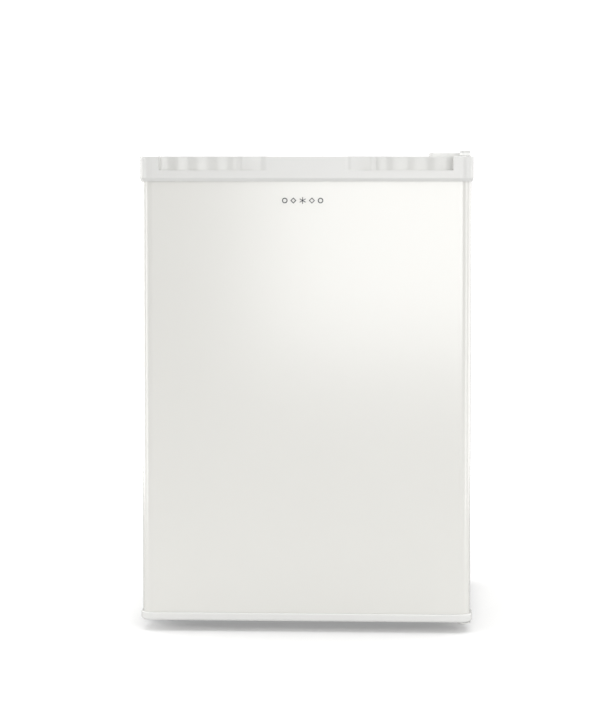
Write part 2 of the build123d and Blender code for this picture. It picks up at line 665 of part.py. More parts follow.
with BuildPart() as cabinet_top_plugs:  # they close the screw holes for a left-hand hinge
    for x, y in TOP_SCREWS:
        rod(4.4, (-x, y, CABINET_TOP), (-x, y, CABINET_TOP + 1.2))
    fillet(cabinet_top_plugs.edges().group_by(Axis.Z)[-1], 0.6)
save(cabinet_top_plugs, "cabinet_top_plugs")

LOWER_PLATE = (10.6, 12.6)

with BuildPart() as bottom_hinge_bracket:  # joggled plate that comes out from under the cabinet
    with BuildSketch(Plane.YZ.offset(HINGE_X - 9)):
        spread(
            [
                (HINGE_Y, LOWER_PLATE[0]),
                (-172, LOWER_PLATE[0]),
                (-172, CABINET_BOTTOM - 2.5),
                (-108, CABINET_BOTTOM - 2.5),
                (-108, CABINET_BOTTOM),
                (-174.5, CABINET_BOTTOM),
                (-174.5, LOWER_PLATE[1]),
                (HINGE_Y, LOWER_PLATE[1]),
            ]
        )
    extrude(amount=18)
    block((170, HINGE_X - 9), (-172, -108), (CABINET_BOTTOM - 2.5, CABINET_BOTTOM))
    rod(9, (HINGE_X, HINGE_Y, LOWER_PLATE[0]), (HINGE_X, HINGE_Y, LOWER_PLATE[1]))
    rod(PIN_RADIUS, (HINGE_X, HINGE_Y, 0), (HINGE_X, HINGE_Y, 20), mode=Mode.SUBTRACT)
    rod(4.6, (FOOT_X, FOOT_Y, 0), (FOOT_X, FOOT_Y, 30), mode=Mode.SUBTRACT)
    for x, y in BOTTOM_SCREWS:
        rod(2.5, (x, y, 0), (x, y, 30), mode=Mode.SUBTRACT)
save(bottom_hinge_bracket, "bottom_hinge_bracket")

with BuildPart() as hinge_pins:  # each is riveted into its bracket and reaches into a bush
    for head, plate, end in (
        (ARM_TOP + 0.9, ARM_TOP, DOOR_TOP - 20),
        (LOWER_PLATE[0] - 0.9, LOWER_PLATE[0], DOOR_BOTTOM + 20),
    ):
        rod(PIN_RADIUS, (HINGE_X, HINGE_Y, plate), (HINGE_X, HINGE_Y, end))
        rod(5, (HINGE_X, HINGE_Y, head), (HINGE_X, HINGE_Y, plate))
save(hinge_pins, "hinge_pins")

with BuildPart() as hinge_screws:
    for x, y in TOP_SCREWS:
        rod(2.5, (x, y, CABINET_TOP - 14), (x, y, BRACKET_TOP))
        rod(4.6, (x, y, BRACKET_TOP), (x, y, BRACKET_TOP + 1.4))
    for x, y in BOTTOM_SCREWS:
        rod(2.5, (x, y, CABINET_BOTTOM - 2.5), (x, y, CABINET_BOTTOM + 14))
        rod(4.6, (x, y, CABINET_BOTTOM - 3.9), (x, y, CABINET_BOTTOM - 2.5))
save(hinge_screws, "hinge_screws")

# ---------------------------------------------------------------- food compartment fittings

with BuildPart() as evaporator_box:  # aluminium plate, folded to a box that is open to the front
    with BuildSketch(upright(FREEZER_FRONT)):
        frame_face(FREEZER_HALF, FREEZER_BOTTOM, FREEZER_TOP, FREEZER_SHEET, 9)
    extrude(amount=-(FREEZER_REAR - FREEZER_FRONT))
    with BuildSketch(upright(FREEZER_REAR - FREEZER_SHEET)):
        with Locations((0, (FREEZER_BOTTOM + FREEZER_TOP) / 2)):
            RectangleRounded(2 * FREEZER_HALF, FREEZER_TOP - FREEZER_BOTTOM, 9)
    extrude(amount=-FREEZER_SHEET)
    for z, out in ((FREEZER_BOTTOM, -1), (FREEZER_TOP, 1)):  # blown channels for the refrigerant
        for x in range(-132, 133, 44):
            block((x - 4, x + 4), (FREEZER_FRONT + 16, FREEZER_REAR - 16), sorted((z, z + 1.6 * out)))
save(evaporator_box, "evaporator_box")

with BuildPart() as evaporator_hangers:
    for x in (-110, 110):
        for y in (-10, 120):
            rod(4, (x, y, FREEZER_TOP), (x, y, CAVITY_TOP))
save(evaporator_hangers, "evaporator_hangers")

FRAME_FRONT = FREEZER_FRONT - 5.5

with BuildPart() as freezer_frame:  # moulded rim of the box, with two ears for the flap
    with BuildSketch(upright(FRAME_FRONT)):
        frame_face(FREEZER_HALF + 5, FREEZER_BOTTOM - 4, FREEZER_TOP + 4, 12, 6)
    extrude(amount=-(FREEZER_FRONT - FRAME_FRONT))
    for side in (-1, 1):
        ear = sorted((side * (FLAP_HALF + 3), side * (FREEZER_HALF + 5)))
        block(ear, (FLAP_AXIS_Y - 6, FRAME_FRONT), (FLAP_AXIS_Z - 7, FLAP_AXIS_Z + 7))
    fillet(freezer_frame.edges().filter_by(Axis.X).group_by(Axis.Y)[0], 4)
    rod(
        FLAP_PIN + 0.08,
        (-FLAP_HALF - 8, FLAP_AXIS_Y, FLAP_AXIS_Z),
        (FLAP_HALF + 8, FLAP_AXIS_Y, FLAP_AXIS_Z),
        mode=Mode.SUBTRACT,
    )
save(freezer_frame, "freezer_frame")

FLAP_LOW = FREEZER_BOTTOM + 1.2
FLAP_FACES = (FLAP_AXIS_Y - FLAP_THICKNESS / 2, FLAP_AXIS_Y + FLAP_THICKNESS / 2)

with BuildPart() as freezer_flap:  # hangs from two moulded pins and swings out and up
    block((-FLAP_HALF, FLAP_HALF), FLAP_FACES, (FLAP_LOW, FLAP_AXIS_Z))
    fillet(freezer_flap.edges().filter_by(Axis.Y).group_by(Axis.Z)[0], 8)
    rod(FLAP_THICKNESS / 2, (-FLAP_HALF, FLAP_AXIS_Y, FLAP_AXIS_Z), (FLAP_HALF, FLAP_AXIS_Y, FLAP_AXIS_Z))
    rod(FLAP_PIN, (-FLAP_HALF - 7, FLAP_AXIS_Y, FLAP_AXIS_Z), (FLAP_HALF + 7, FLAP_AXIS_Y, FLAP_AXIS_Z))
    block((-45, 45), (FLAP_FACES[0] - 8, FLAP_AXIS_Y), (FLAP_LOW + 8, FLAP_LOW + 14))
    fillet(freezer_flap.edges().filter_by(Axis.Z).group_by(Axis.Y)[0], 2.5)
save(freezer_flap, "freezer_flap")

TRAY_TOP = LEDGE_TOPS[3] + 2.3

with BuildPart() as drip_tray:  # clear tray that catches defrost water; its edges ride on the upper ledges
    block((-CAVITY_HALF + 2, CAVITY_HALF - 2), (-92, 138), (TRAY_TOP - 2, TRAY_TOP))
    block((-LEDGE_INNER + 2, LEDGE_INNER - 2), (-92, 138), (TRAY_TOP - 24, TRAY_TOP))
    block((-60, 60), (-100, -92), (TRAY_TOP - 8, TRAY_TOP))
    fillet(drip_tray.edges().filter_by(Axis.Z).group_by(Axis.Y)[0], 3)
    block((-LEDGE_INNER + 4, LEDGE_INNER - 4), (-90, 136), (TRAY_TOP - 22, TRAY_TOP + 1), mode=Mode.SUBTRACT)
save(drip_tray, "drip_tray")

SHELF_FRONT = -98.0
SHELF_REAR = 146.0
GLASS = 4.0


def shelf(ledge, level):
    """A sheet of safety glass with a plastic trim along its front and its rear edge."""
    low = ledge + 0.3 + 2.2
    with BuildPart() as glass:
        block((-CAVITY_HALF + 4, CAVITY_HALF - 4), (SHELF_FRONT + 2, SHELF_REAR - 2), (low, low + GLASS))
    save(glass, f"{level}_shelf_glass")
    with BuildPart() as trims:
        for inside, outside in ((SHELF_FRONT + 14, SHELF_FRONT), (SHELF_REAR - 10, SHELF_REAR)):
            block((-CAVITY_HALF + 2, CAVITY_HALF - 2), sorted((inside, outside)), (low - 2.2, low + GLASS + 2))
        fillet(trims.edges().filter_by(Axis.X), 1.5)
        block(
            (-CAVITY_HALF + 4, CAVITY_HALF - 4),
            (SHELF_FRONT + 2, SHELF_REAR - 2),
            (low, low + GLASS),
            mode=Mode.SUBTRACT,
        )
    save(trims, f"{level}_shelf_trims")


shelf(LEDGE_TOPS[0], "lower")
shelf(LEDGE_TOPS[2], "upper")

HOUSING = ((146, CAVITY_HALF), (-70, 40), (352, 404))

with BuildPart() as thermostat_housing:
    block(*HOUSING)
    fillet(thermostat_housing.edges().filter_by(Axis.Y).group_by(Axis.X)[0], 8)
    block((148, CAVITY_HALF + 1), (-68, 38), (354, 402), mode=Mode.SUBTRACT)
    rod(3.6, (DIAL_X, -80, DIAL_Z), (DIAL_X, -60, DIAL_Z), mode=Mode.SUBTRACT)
    rod(1.6, (172, 30, 388), (172, 50, 388), mode=Mode.SUBTRACT)
save(thermostat_housing, "thermostat_housing")

with BuildPart() as thermostat_switch:
    block((150, 178), (-52, 4), (361, 395))
    rod(3.06, (DIAL_X, -60, DIAL_Z), (DIAL_X, -30, DIAL_Z), mode=Mode.SUBTRACT)
save(thermostat_switch, "thermostat_switch")

with BuildPart() as thermostat_knob:  # dial, moulded with its spindle
    rod(15, (DIAL_X, -78, DIAL_Z), (DIAL_X, -71, DIAL_Z))
    with BuildSketch(upright(-78)):
        with Locations((DIAL_X, DIAL_Z)):
            Circle(12)
            with PolarLocations(12.2, 12):
                Circle(1.5, mode=Mode.SUBTRACT)
    extrude(amount=10)
    fillet(thermostat_knob.faces().sort_by(Axis.Y)[0].edges(), 1)
    block((DIAL_X - 1, DIAL_X + 1), (-88.6, -87), (DIAL_Z + 2, DIAL_Z + 10))
    rod(3, (DIAL_X, -72, DIAL_Z), (DIAL_X, -32, DIAL_Z))
save(thermostat_knob, "thermostat_knob")

with BuildPart() as sensor_tube:  # the thermostat's fine tube, which ends beside the freezer box
    pipe(1.5, [(172, 4, 388), (172, 152, 388), (172, 152, 500), (172, 90, 500)], 8)
save(sensor_tube, "sensor_tube")

# ---------------------------------------------------------------- compressor and circuit

MOUNT_LOW = CABINET_BOTTOM + 12
SHELL_LOW = MOUNT_LOW + 3
SHELL_SEAM = 98.0
SHELL_TOP = 168.0

with BuildPart() as compressor_mount:  # pressed foot plate, welded under the pump
    with BuildSketch(Plane.XY.offset(MOUNT_LOW)):
        with Locations((COMPRESSOR_X, COMPRESSOR_Y)):
            RectangleRounded(2 * MOUNT_HALF_X + 24, 2 * MOUNT_HALF_Y + 24, 10)
            with GridLocations(2 * MOUNT_HALF_X, 2 * MOUNT_HALF_Y, 2, 2):
                Circle(8, mode=Mode.SUBTRACT)
    extrude(amount=3)
save(compressor_mount, "compressor_mount")

with BuildPart() as compressor_grommets:
    with BuildSketch(Plane.XY.offset(CABINET_BOTTOM + 2)):
        with Locations((COMPRESSOR_X, COMPRESSOR_Y)):
            with GridLocations(2 * MOUNT_HALF_X, 2 * MOUNT_HALF_Y, 2, 2):
                Circle(11)
                Circle(3.2, mode=Mode.SUBTRACT)
    extrude(amount=MOUNT_LOW - CABINET_BOTTOM - 2)
    with BuildSketch(Plane.XY.offset(MOUNT_LOW)):
        with Locations((COMPRESSOR_X, COMPRESSOR_Y)):
            with GridLocations(2 * MOUNT_HALF_X, 2 * MOUNT_HALF_Y, 2, 2):
                Circle(7.8)
                Circle(3.2, mode=Mode.SUBTRACT)
    extrude(amount=5)
save(compressor_grommets, "compressor_grommets")

with BuildPart() as compressor_bolts:
    for side_x in (-1, 1):
        for side_y in (-1, 1):
            x = COMPRESSOR_X + side_x * MOUNT_HALF_X
            y = COMPRESSOR_Y + side_y * MOUNT_HALF_Y
            rod(3, (x, y, CABINET_BOTTOM - 3), (x, y, MOUNT_LOW + 5))
            rod(8, (x, y, MOUNT_LOW + 5), (x, y, MOUNT_LOW + 6.4))
            rod(5, (x, y, MOUNT_LOW + 6.4), (x, y, MOUNT_LOW + 10))
save(compressor_bolts, "compressor_bolts")


def dome(low, seam, outer, inner, round_off, direction):
    """A drawn steel half-shell, open at the seam. Direction is 1 for the lower half and -1 for the upper one."""
    axis_plane = Plane(origin=(COMPRESSOR_X, COMPRESSOR_Y, 0), x_dir=(1, 0, 0), z_dir=(0, -1, 0))
    for radius, start, mode in ((outer, low, Mode.ADD), (inner, low + direction * (outer - inner), Mode.SUBTRACT)):
        curve = round_off - (outer - radius)
        with BuildSketch(axis_plane) as profile:
            with BuildLine():
                FilletPolyline((0, start), (radius, start), (radius, seam), radius=curve)
                Polyline((radius, seam), (0, seam), (0, start))
            make_face()
        revolve(profile.sketch, axis=Axis((COMPRESSOR_X, COMPRESSOR_Y, 0), (0, 0, 1)), mode=mode)


with BuildPart() as compressor_lower_shell:
    dome(SHELL_LOW, SHELL_SEAM, COMPRESSOR_RADIUS, COMPRESSOR_RADIUS - 3, 18, 1)
save(compressor_lower_shell, "compressor_lower_shell")

with BuildPart() as compressor_upper_shell:
    dome(SHELL_TOP, SHELL_SEAM, COMPRESSOR_RADIUS - 1.5, COMPRESSOR_RADIUS - 4.5, 34, -1)
save(compressor_upper_shell, "compressor_upper_shell")

with BuildPart() as compressor_pump:  # motor stator and pump block, sprung inside the welded shell
    rod(44, (COMPRESSOR_X, COMPRESSOR_Y, SHELL_LOW + 12), (COMPRESSOR_X, COMPRESSOR_Y, SHELL_SEAM))
    rod(30, (COMPRESSOR_X, COMPRESSOR_Y, SHELL_SEAM), (COMPRESSOR_X, COMPRESSOR_Y, SHELL_SEAM + 42))
save(compressor_pump, "compressor_pump")

RELAY_X = COMPRESSOR_X + COMPRESSOR_RADIUS + 0.4

with BuildPart() as relay_cover:  # clips over the terminals, the starter and the overload switch
    block((RELAY_X, RELAY_X + 34), (COMPRESSOR_Y - 26, COMPRESSOR_Y + 26), (62, 112))
    fillet(relay_cover.edges().filter_by(Axis.X), 6)
    block((RELAY_X - 1, RELAY_X + 32), (COMPRESSOR_Y - 24, COMPRESSOR_Y + 24), (64, 110), mode=Mode.SUBTRACT)
save(relay_cover, "relay_cover")

with BuildPart() as condenser_tube:  # one serpentine tube with level passes
    pitch = 30.0
    passes = int((CONDENSER_TOP - CONDENSER_BOTTOM) / pitch) + 1
    corners = [(-CONDENSER_HALF, CONDENSER_Y, CONDENSER_TOP)]
    for row in range(passes):
        z = CONDENSER_TOP - row * pitch
        side = 1 if row % 2 == 0 else -1
        corners.append((side * CONDENSER_HALF, CONDENSER_Y, z))
        if row < passes - 1:
            corners.append((side * CONDENSER_HALF, CONDENSER_Y, z - pitch))
    pipe(TUBE_RADIUS, corners, pitch / 2 - 0.5)
save(condenser_tube, "condenser_tube")

WIRE_PITCH = 12.0
WIRES = 26

with BuildPart() as condenser_wires:  # upright wires, spot-welded to both sides of the serpentine
    for out in (-1, 1):
        y = CONDENSER_Y + out * (TUBE_RADIUS + WIRE_RADIUS + 0.02)
        for number in range(WIRES):
            x = (number - (WIRES - 1) / 2) * WIRE_PITCH
            rod(WIRE_RADIUS, (x, y, CONDENSER_BOTTOM - 10), (x, y, CONDENSER_TOP + 10))
save(condenser_wires, "condenser_wires")

with BuildPart() as condenser_clips:  # bent brackets that hold the serpentine off the back panel
    for x, z in CLIP_POINTS:
        block((x - 7, x + 7), (CABINET_BACK, CABINET_BACK + 1.5), (z - 10, z + 22))
        block((x - 7, x + 7), (CABINET_BACK, CONDENSER_Y - TUBE_RADIUS - 0.1), (z + 20.5, z + 22))
        block(
            (x - 7, x + 7),
            (CONDENSER_Y - TUBE_RADIUS - 1.6, CONDENSER_Y - TUBE_RADIUS - 0.1),
            (z - 22, z + 22),
        )
        rod(1.8, (x, CABINET_BACK - 1, z), (x, CABINET_BACK + 2, z), mode=Mode.SUBTRACT)
save(condenser_clips, "condenser_clips")

with BuildPart() as panel_screws:  # the same screw fixes the back panel and the condenser brackets
    for x, z in PANEL_POINTS:
        rod(1.8, (x, CABINET_BACK - 9, z), (x, CABINET_BACK, z))
        rod(4, (x, CABINET_BACK, z), (x, CABINET_BACK + 2.1, z))
    for x, z in CLIP_POINTS:
        rod(1.8, (x, CABINET_BACK - 7.5, z), (x, CABINET_BACK + 1.5, z))
        rod(4, (x, CABINET_BACK + 1.5, z), (x, CABINET_BACK + 3.6, z))
save(panel_screws, "panel_screws")

with BuildPart() as discharge_tube:  # hot gas, from the pump up to the condenser's first pass
    pipe(
        TUBE_RADIUS,
        [
            (COMPRESSOR_X - COMPRESSOR_RADIUS - 0.2, COMPRESSOR_Y, 80),
            (-92, COMPRESSOR_Y, 80),
            (-92, 208, 80),
            (-204, 208, 80),
            (-204, 208, CONDENSER_TOP),
            (-204, CONDENSER_Y, CONDENSER_TOP),
            (-CONDENSER_HALF - 0.1, CONDENSER_Y, CONDENSER_TOP),
        ],
        [12, 16, 16, 5.5, 5.5],
    )
save(discharge_tube, "discharge_tube")

LAST_PASS = CONDENSER_TOP - (passes - 1) * pitch
OUTLET_SIDE = 1 if (passes - 1) % 2 == 0 else -1
DRIER_X = 150.0

with BuildPart() as liquid_tube:  # from the condenser's last pass down to the drier
    pipe(
        TUBE_RADIUS,
        [
            (OUTLET_SIDE * (CONDENSER_HALF + 0.1), CONDENSER_Y, LAST_PASS),
            (OUTLET_SIDE * 204, CONDENSER_Y, LAST_PASS),
            (OUTLET_SIDE * 204, CONDENSER_Y, 176),
            (OUTLET_SIDE * 204, 176, 176),
            (OUTLET_SIDE * DRIER_X, 176, 176),
            (OUTLET_SIDE * DRIER_X, 176, 160.1),
        ],
        [8, 14, 14, 7],
    )
save(liquid_tube, "liquid_tube")

with BuildPart() as filter_drier:  # a small copper can with necked ends
    x = OUTLET_SIDE * DRIER_X
    rod(8, (x, 176, 84), (x, 176, 150))
    with Locations(Plane(origin=(x, 176, 150))):
        Cone(8, 3.2, 10, align=(Align.CENTER, Align.CENTER, Align.MIN))
    with Locations(Plane(origin=(x, 176, 74))):
        Cone(2, 8, 10, align=(Align.CENTER, Align.CENTER, Align.MIN))
save(filter_drier, "filter_drier")

with BuildPart() as capillary_tube:  # fine tube that feeds the freezer box through the back
    pipe(
        1.1,
        [
            (OUTLET_SIDE * DRIER_X, 176, 74),
            (OUTLET_SIDE * DRIER_X, 176, 56),
            (OUTLET_SIDE * 186, 176, 56),
            (OUTLET_SIDE * 186, 206, 56),
            (OUTLET_SIDE * 186, 206, 205),
            (OUTLET_SIDE * 186, CABINET_BACK + 0.1, 205),
        ],
        [8, 12, 10, 5],
    )
save(capillary_tube, "capillary_tube")

with BuildPart() as suction_tube:  # cold gas, from the back down to the pump
    pipe(
        3.2,
        [
            (-120, CABINET_BACK + 0.1, 226),
            (-120, 208, 226),
            (-120, 208, 130),
            (-60, 208, 130),
            (-60, COMPRESSOR_Y, 130),
            (COMPRESSOR_X - COMPRESSOR_RADIUS + 1.2, COMPRESSOR_Y, 130),
        ],
        [7, 16, 16, 8],
    )
save(suction_tube, "suction_tube")

with BuildPart() as cord_clamp:  # strain relief for the mains lead, behind the cross member's rear lip
    block((-160, -120), (190, 199), (CABINET_BOTTOM, CABINET_BOTTOM + 28))
    fillet(cord_clamp.edges().filter_by(Axis.Y), 4)
    rod(3.6, (-140, 189, CABINET_BOTTOM + 18), (-140, 200, CABINET_BOTTOM + 18), mode=Mode.SUBTRACT)
save(cord_clamp, "cord_clamp")
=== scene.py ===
# %% [markdown]
# # A compact refrigerator, finished for the camera
#
# The refrigerator was already designed as solid parts: door, cabinet, racks, compressor and so on. They
# arrive here as a fixed frame, in metres, with +Z up and the door facing -Y. This script gives every part
# its finish, adds the soft and small pieces that solid modelling does badly, and sets up light and camera.

# %% Load the frame
import math

import bmesh
import bpy
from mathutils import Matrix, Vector


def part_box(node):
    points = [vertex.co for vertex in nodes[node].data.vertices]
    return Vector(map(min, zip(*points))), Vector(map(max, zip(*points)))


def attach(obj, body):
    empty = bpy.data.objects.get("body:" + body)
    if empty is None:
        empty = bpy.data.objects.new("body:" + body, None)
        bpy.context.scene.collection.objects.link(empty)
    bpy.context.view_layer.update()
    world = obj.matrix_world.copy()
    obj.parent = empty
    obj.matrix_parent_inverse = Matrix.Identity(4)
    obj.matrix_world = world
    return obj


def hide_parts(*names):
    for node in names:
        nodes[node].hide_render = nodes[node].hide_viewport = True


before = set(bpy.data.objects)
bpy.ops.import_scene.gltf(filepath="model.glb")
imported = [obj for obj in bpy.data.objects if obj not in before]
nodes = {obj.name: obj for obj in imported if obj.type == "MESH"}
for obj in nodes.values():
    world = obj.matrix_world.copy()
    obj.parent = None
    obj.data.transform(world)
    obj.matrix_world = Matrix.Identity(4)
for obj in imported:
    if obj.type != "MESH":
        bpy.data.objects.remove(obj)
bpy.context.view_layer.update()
MM = 0.001

# %% [markdown]
# ## Writing node trees as sums
#
# A shader is a graph of nodes. Drawn by hand it is clear, but written out link by link it is hard to read.
# So one small class stands for an output socket and knows how to add and multiply: each operator makes a
# Math node and returns its output. The reflected forms let `0.3 + mask` work as well as `mask + 0.3`.


# %% A socket that does arithmetic
class Wire:
    """An output socket of a node tree."""

    def __init__(self, tree, socket):
        self.tree, self.socket = tree, socket

    def math(self, operation, *values):
        node = self.tree.nodes.new("ShaderNodeMath")
        node.operation = operation
        for slot, value in zip(node.inputs, values):
            connect(self.tree, value, slot)
        return Wire(self.tree, node.outputs[0])

    def __add__(self, other):
        return self.math("ADD", self, other)

    def __radd__(self, other):
        return self.math("ADD", other, self)

    def __mul__(self, other):
        return self.math("MULTIPLY", self, other)

    def __rmul__(self, other):
        return self.math("MULTIPLY", other, self)


def connect(tree, value, slot):
    """Links a Wire to an input socket, or sets the socket's own value."""
    if isinstance(value, Wire):
        tree.links.new(value.socket, slot)
    else:
        slot.default_value = value


# %% [markdown]
# ## One finish, one small class
#
# Every finish starts from the Principled shader. Values that are the same all over the surface are set on
# its own sockets. Values that vary come from nodes, which all go through the one method `node`: it takes
# the node's type, then its settings, then what goes into its sockets. The world's light uses it as well.


# %% A node tree, and a finish
class Graph:
    """A node tree that nodes can be added to."""

    def __init__(self, tree):
        self.tree = tree

    def node(self, kind, settings, sockets, output=0):
        """A node of any kind. Its settings are set first, then the values or links of its sockets."""
        made = self.tree.nodes.new(kind)
        for key, value in settings.items():
            setattr(made, key, value)
        for key, value in sockets.items():
            connect(self.tree, value, made.inputs[key])
        return Wire(self.tree, made.outputs[output])


class Finish(Graph):
    """A material around one Principled shader."""

    def __init__(self, name, **constants):
        self.material = bpy.data.materials.new(name)
        self.material.use_nodes = True
        super().__init__(self.material.node_tree)
        self.shader = self.tree.nodes["Principled BSDF"]
        for socket, value in constants.items():
            self.shader.inputs[socket.replace("_", " ")].default_value = value
        self.place = self.node("ShaderNodeTexCoord", {}, {}, "Object")

    def noise(self, scale, detail=3.0, roughness=0.55, place=None):
        sockets = {"Vector": place or self.place, "Scale": scale, "Detail": detail, "Roughness": roughness}
        return self.node("ShaderNodeTexNoise", {}, sockets)

    def stretched(self, x, y, z):
        """The place, scaled along each axis, for grain that runs one way."""
        return self.node("ShaderNodeVectorMath", {"operation": "MULTIPLY"}, {0: self.place, 1: (x, y, z)})

    def between(self, factor, first, second):
        """A colour between two colours. Sockets 6 and 7 of a Mix node, and its output 2, are for colours."""
        sockets = {0: factor, 6: (*first, 1), 7: (*second, 1)}
        return self.node("ShaderNodeMix", {"data_type": "RGBA"}, sockets, 2)

    def feed(self, **wires):
        """Links wires to the shader's sockets."""
        for socket, wire in wires.items():
            connect(self.tree, wire, self.shader.inputs[socket.replace("_", " ")])

    def relief(self, height, distance, strength=1.0):
        """Small-scale relief of that depth in metres."""
        sockets = {"Height": height, "Distance": distance, "Strength": strength}
        bump = self.node("ShaderNodeBump", {}, sockets)
        self.feed(Normal=bump)


# %% [markdown]
# ## Painted steel
#
# The door is pre-painted sheet: white, glossy, with a very faint orange peel from the spray. The peel is
# what keeps a large white panel from looking like paper. It is a soft noise about three millimetres across,
# only a few thousandths of a millimetre deep. The cabinet's sheet has a deeper embossed texture that hides
# fingerprints.


# %% Enamel
def enamel(name, colour, shade, peel_size, peel_depth, gloss, coat, coat_gloss):
    """Glossy paint. Peel size and depth are in metres."""
    paint = Finish(name, Coat_Roughness=coat_gloss, Specular_IOR_Level=0.8)
    drift = paint.noise(4.0, 2.0)
    paint.feed(Base_Color=paint.between(drift, colour, shade), Coat_Weight=coat + 0.05 * drift)
    peel = paint.noise(1 / peel_size, 2.0)
    paint.feed(Roughness=gloss + 0.03 * peel)
    paint.relief(peel, peel_depth)
    return paint.material


WARM_WHITE = (0.81, 0.805, 0.77)
door_paint = enamel("door_enamel", WARM_WHITE, (0.80, 0.794, 0.759), 0.0035, 0.000002, 0.17, 0.95, 0.17)
CABINET_WHITE = (0.745, 0.74, 0.715)
side_paint = enamel("cabinet_enamel", CABINET_WHITE, (0.72, 0.715, 0.69), 0.0022, 0.00006, 0.34, 0.1, 0.3)
black_paint = enamel("black_enamel", (0.012, 0.012, 0.013), (0.02, 0.02, 0.02), 0.004, 0.00004, 0.3, 0.2, 0.2)
white_enamel = enamel("white_enamel", (0.82, 0.82, 0.80), (0.8, 0.8, 0.78), 0.003, 0.00001, 0.3, 0.2, 0.2)
print("finishes so far:", len(bpy.data.materials))

# %% [markdown]
# ## Moulded plastics
#
# Caps, liner, housings and feet are injection moulded or vacuum formed. Each has the fine spark texture of
# its mould, a slight drift of tone from place to place, and its own gloss.


# %% Plastic
def plastic(name, colour, shade, grain_size, grain_depth, gloss, **constants):
    """Moulded plastic. Grain size and depth are in metres."""
    moulded = Finish(name, Specular_IOR_Level=0.45, **constants)
    tone = moulded.noise(7.0, 2.0)
    grain = moulded.noise(1 / grain_size, 3.0)
    moulded.feed(Base_Color=moulded.between(tone, colour, shade), Roughness=gloss + 0.1 * grain)
    moulded.relief(grain, grain_depth)
    return moulded.material


cap_plastic = plastic("cap_plastic", (0.79, 0.79, 0.775), (0.77, 0.77, 0.755), 0.0009, 0.000004, 0.16)
# The hinge cover is the cap's white plastic made brighter: painted light that lifts the shade it gets under
# the door's top.
cover_painted_light_plastic = plastic("cover_painted_light_plastic", (0.88, 0.88, 0.87), (0.86, 0.86, 0.85), 0.0009, 0.000006, 0.22)
liner_plastic = plastic("liner_plastic", (0.82, 0.82, 0.80), (0.79, 0.79, 0.77), 0.0014, 0.00002, 0.24)
white_plastic = plastic("white_plastic", (0.80, 0.80, 0.78), (0.76, 0.76, 0.74), 0.0008, 0.00003, 0.36)
black_plastic = plastic("black_plastic", (0.02, 0.02, 0.021), (0.03, 0.03, 0.03), 0.0007, 0.00005, 0.48)
SEAL_WHITE, SEAL_SHADE = (0.74, 0.74, 0.72), (0.68, 0.68, 0.66)
vinyl = plastic("seal_vinyl", SEAL_WHITE, SEAL_SHADE, 0.0016, 0.00003, 0.52, Subsurface_Weight=0.08)
rubber = plastic("black_rubber", (0.014, 0.014, 0.014), (0.03, 0.03, 0.03), 0.0012, 0.00008, 0.7)
magnet = plastic("ferrite_strip", (0.05, 0.04, 0.035), (0.07, 0.06, 0.05), 0.0006, 0.00003, 0.6)
foam = plastic("rigid_foam", (0.72, 0.58, 0.27), (0.78, 0.66, 0.36), 0.0012, 0.0003, 0.85)
print("finishes so far:", len(bpy.data.materials))

# %% [markdown]
# ## Clear pieces
#
# Racks, drip tray and shelves let light through. Full glass everywhere would vanish against a white liner,
# so the plastics keep a faint blue tint and a little roughness, and the shelf glass its green.


# %% Clear plastic and glass
def clear(name, colour, shade, gloss, ior, **constants):
    """Clear plastic or glass with a faint haze."""
    seen_through = Finish(name, Transmission_Weight=0.9, IOR=ior, **constants)
    haze = seen_through.noise(30.0, 3.0)
    seen_through.feed(Base_Color=seen_through.between(haze, colour, shade), Roughness=gloss + 0.08 * haze)
    seen_through.relief(haze, 0.00003)
    return seen_through.material


clear_plastic = clear("clear_plastic", (0.86, 0.92, 0.95), (0.80, 0.88, 0.92), 0.05, 1.49)
blue_plastic = clear("ice_blue_plastic", (0.48, 0.72, 0.88), (0.40, 0.66, 0.84), 0.22, 1.49)
shelf_glass = clear("shelf_glass", (0.82, 0.93, 0.89), (0.78, 0.91, 0.86), 0.0, 1.52)
print("finishes so far:", len(bpy.data.materials))

# %% [markdown]
# ## Bare metals
#
# Zinc-coated sheet crystallises into spangles, so its colour and roughness change from cell to cell: that
# is a Voronoi texture. Copper tube darkens unevenly once it has been brazed. Plated screws and foil only
# need a fine grain.


# %% Galvanised sheet, copper, plating, aluminium, cast iron, foil
def metal(name, bright, dull, gloss, pattern, depth):
    """Bare metal whose tone and gloss follow a pattern."""
    bare = Finish(name, Metallic=1.0)
    field = pattern(bare)
    bare.feed(Base_Color=bare.between(field, bright, dull), Roughness=gloss + 0.2 * field)
    bare.relief(field, depth)
    return bare.material


def spangle(bare):
    """A random tone for each crystal."""
    sockets = {"Vector": bare.place, "Scale": 210.0}
    cell = bare.node("ShaderNodeTexVoronoi", {"feature": "F1"}, sockets, "Color")
    return bare.node("ShaderNodeSeparateColor", {}, {0: cell}, 0) * 0.6


def patches(bare):
    """Soft uneven patches."""
    return bare.noise(60.0, 5.0, 0.65)


def fine(bare):
    """A grain about a millimetre across."""
    return bare.noise(900.0, 2.0)


def rolled(bare):
    """Streaks from the rolling mill, along Y."""
    return bare.noise(240.0, 3.0, place=bare.stretched(1.0, 0.04, 1.0))


galvanised = metal("galvanised_sheet", (0.64, 0.65, 0.66), (0.50, 0.51, 0.53), 0.36, spangle, 0.00001)
copper = metal("copper_tube", (0.78, 0.42, 0.28), (0.36, 0.18, 0.11), 0.25, patches, 0.00003)
plated = metal("zinc_plate", (0.70, 0.70, 0.68), (0.56, 0.56, 0.54), 0.22, fine, 0.00001)
aluminium = metal("rolled_aluminium", (0.82, 0.83, 0.84), (0.70, 0.71, 0.73), 0.3, rolled, 0.00002)
cast_iron = metal("cast_iron", (0.22, 0.22, 0.23), (0.13, 0.13, 0.13), 0.5, patches, 0.0001)
foil = metal("dark_foil", (0.10, 0.105, 0.115), (0.07, 0.075, 0.08), 0.3, fine, 0.000004)
print("finishes so far:", len(bpy.data.materials))

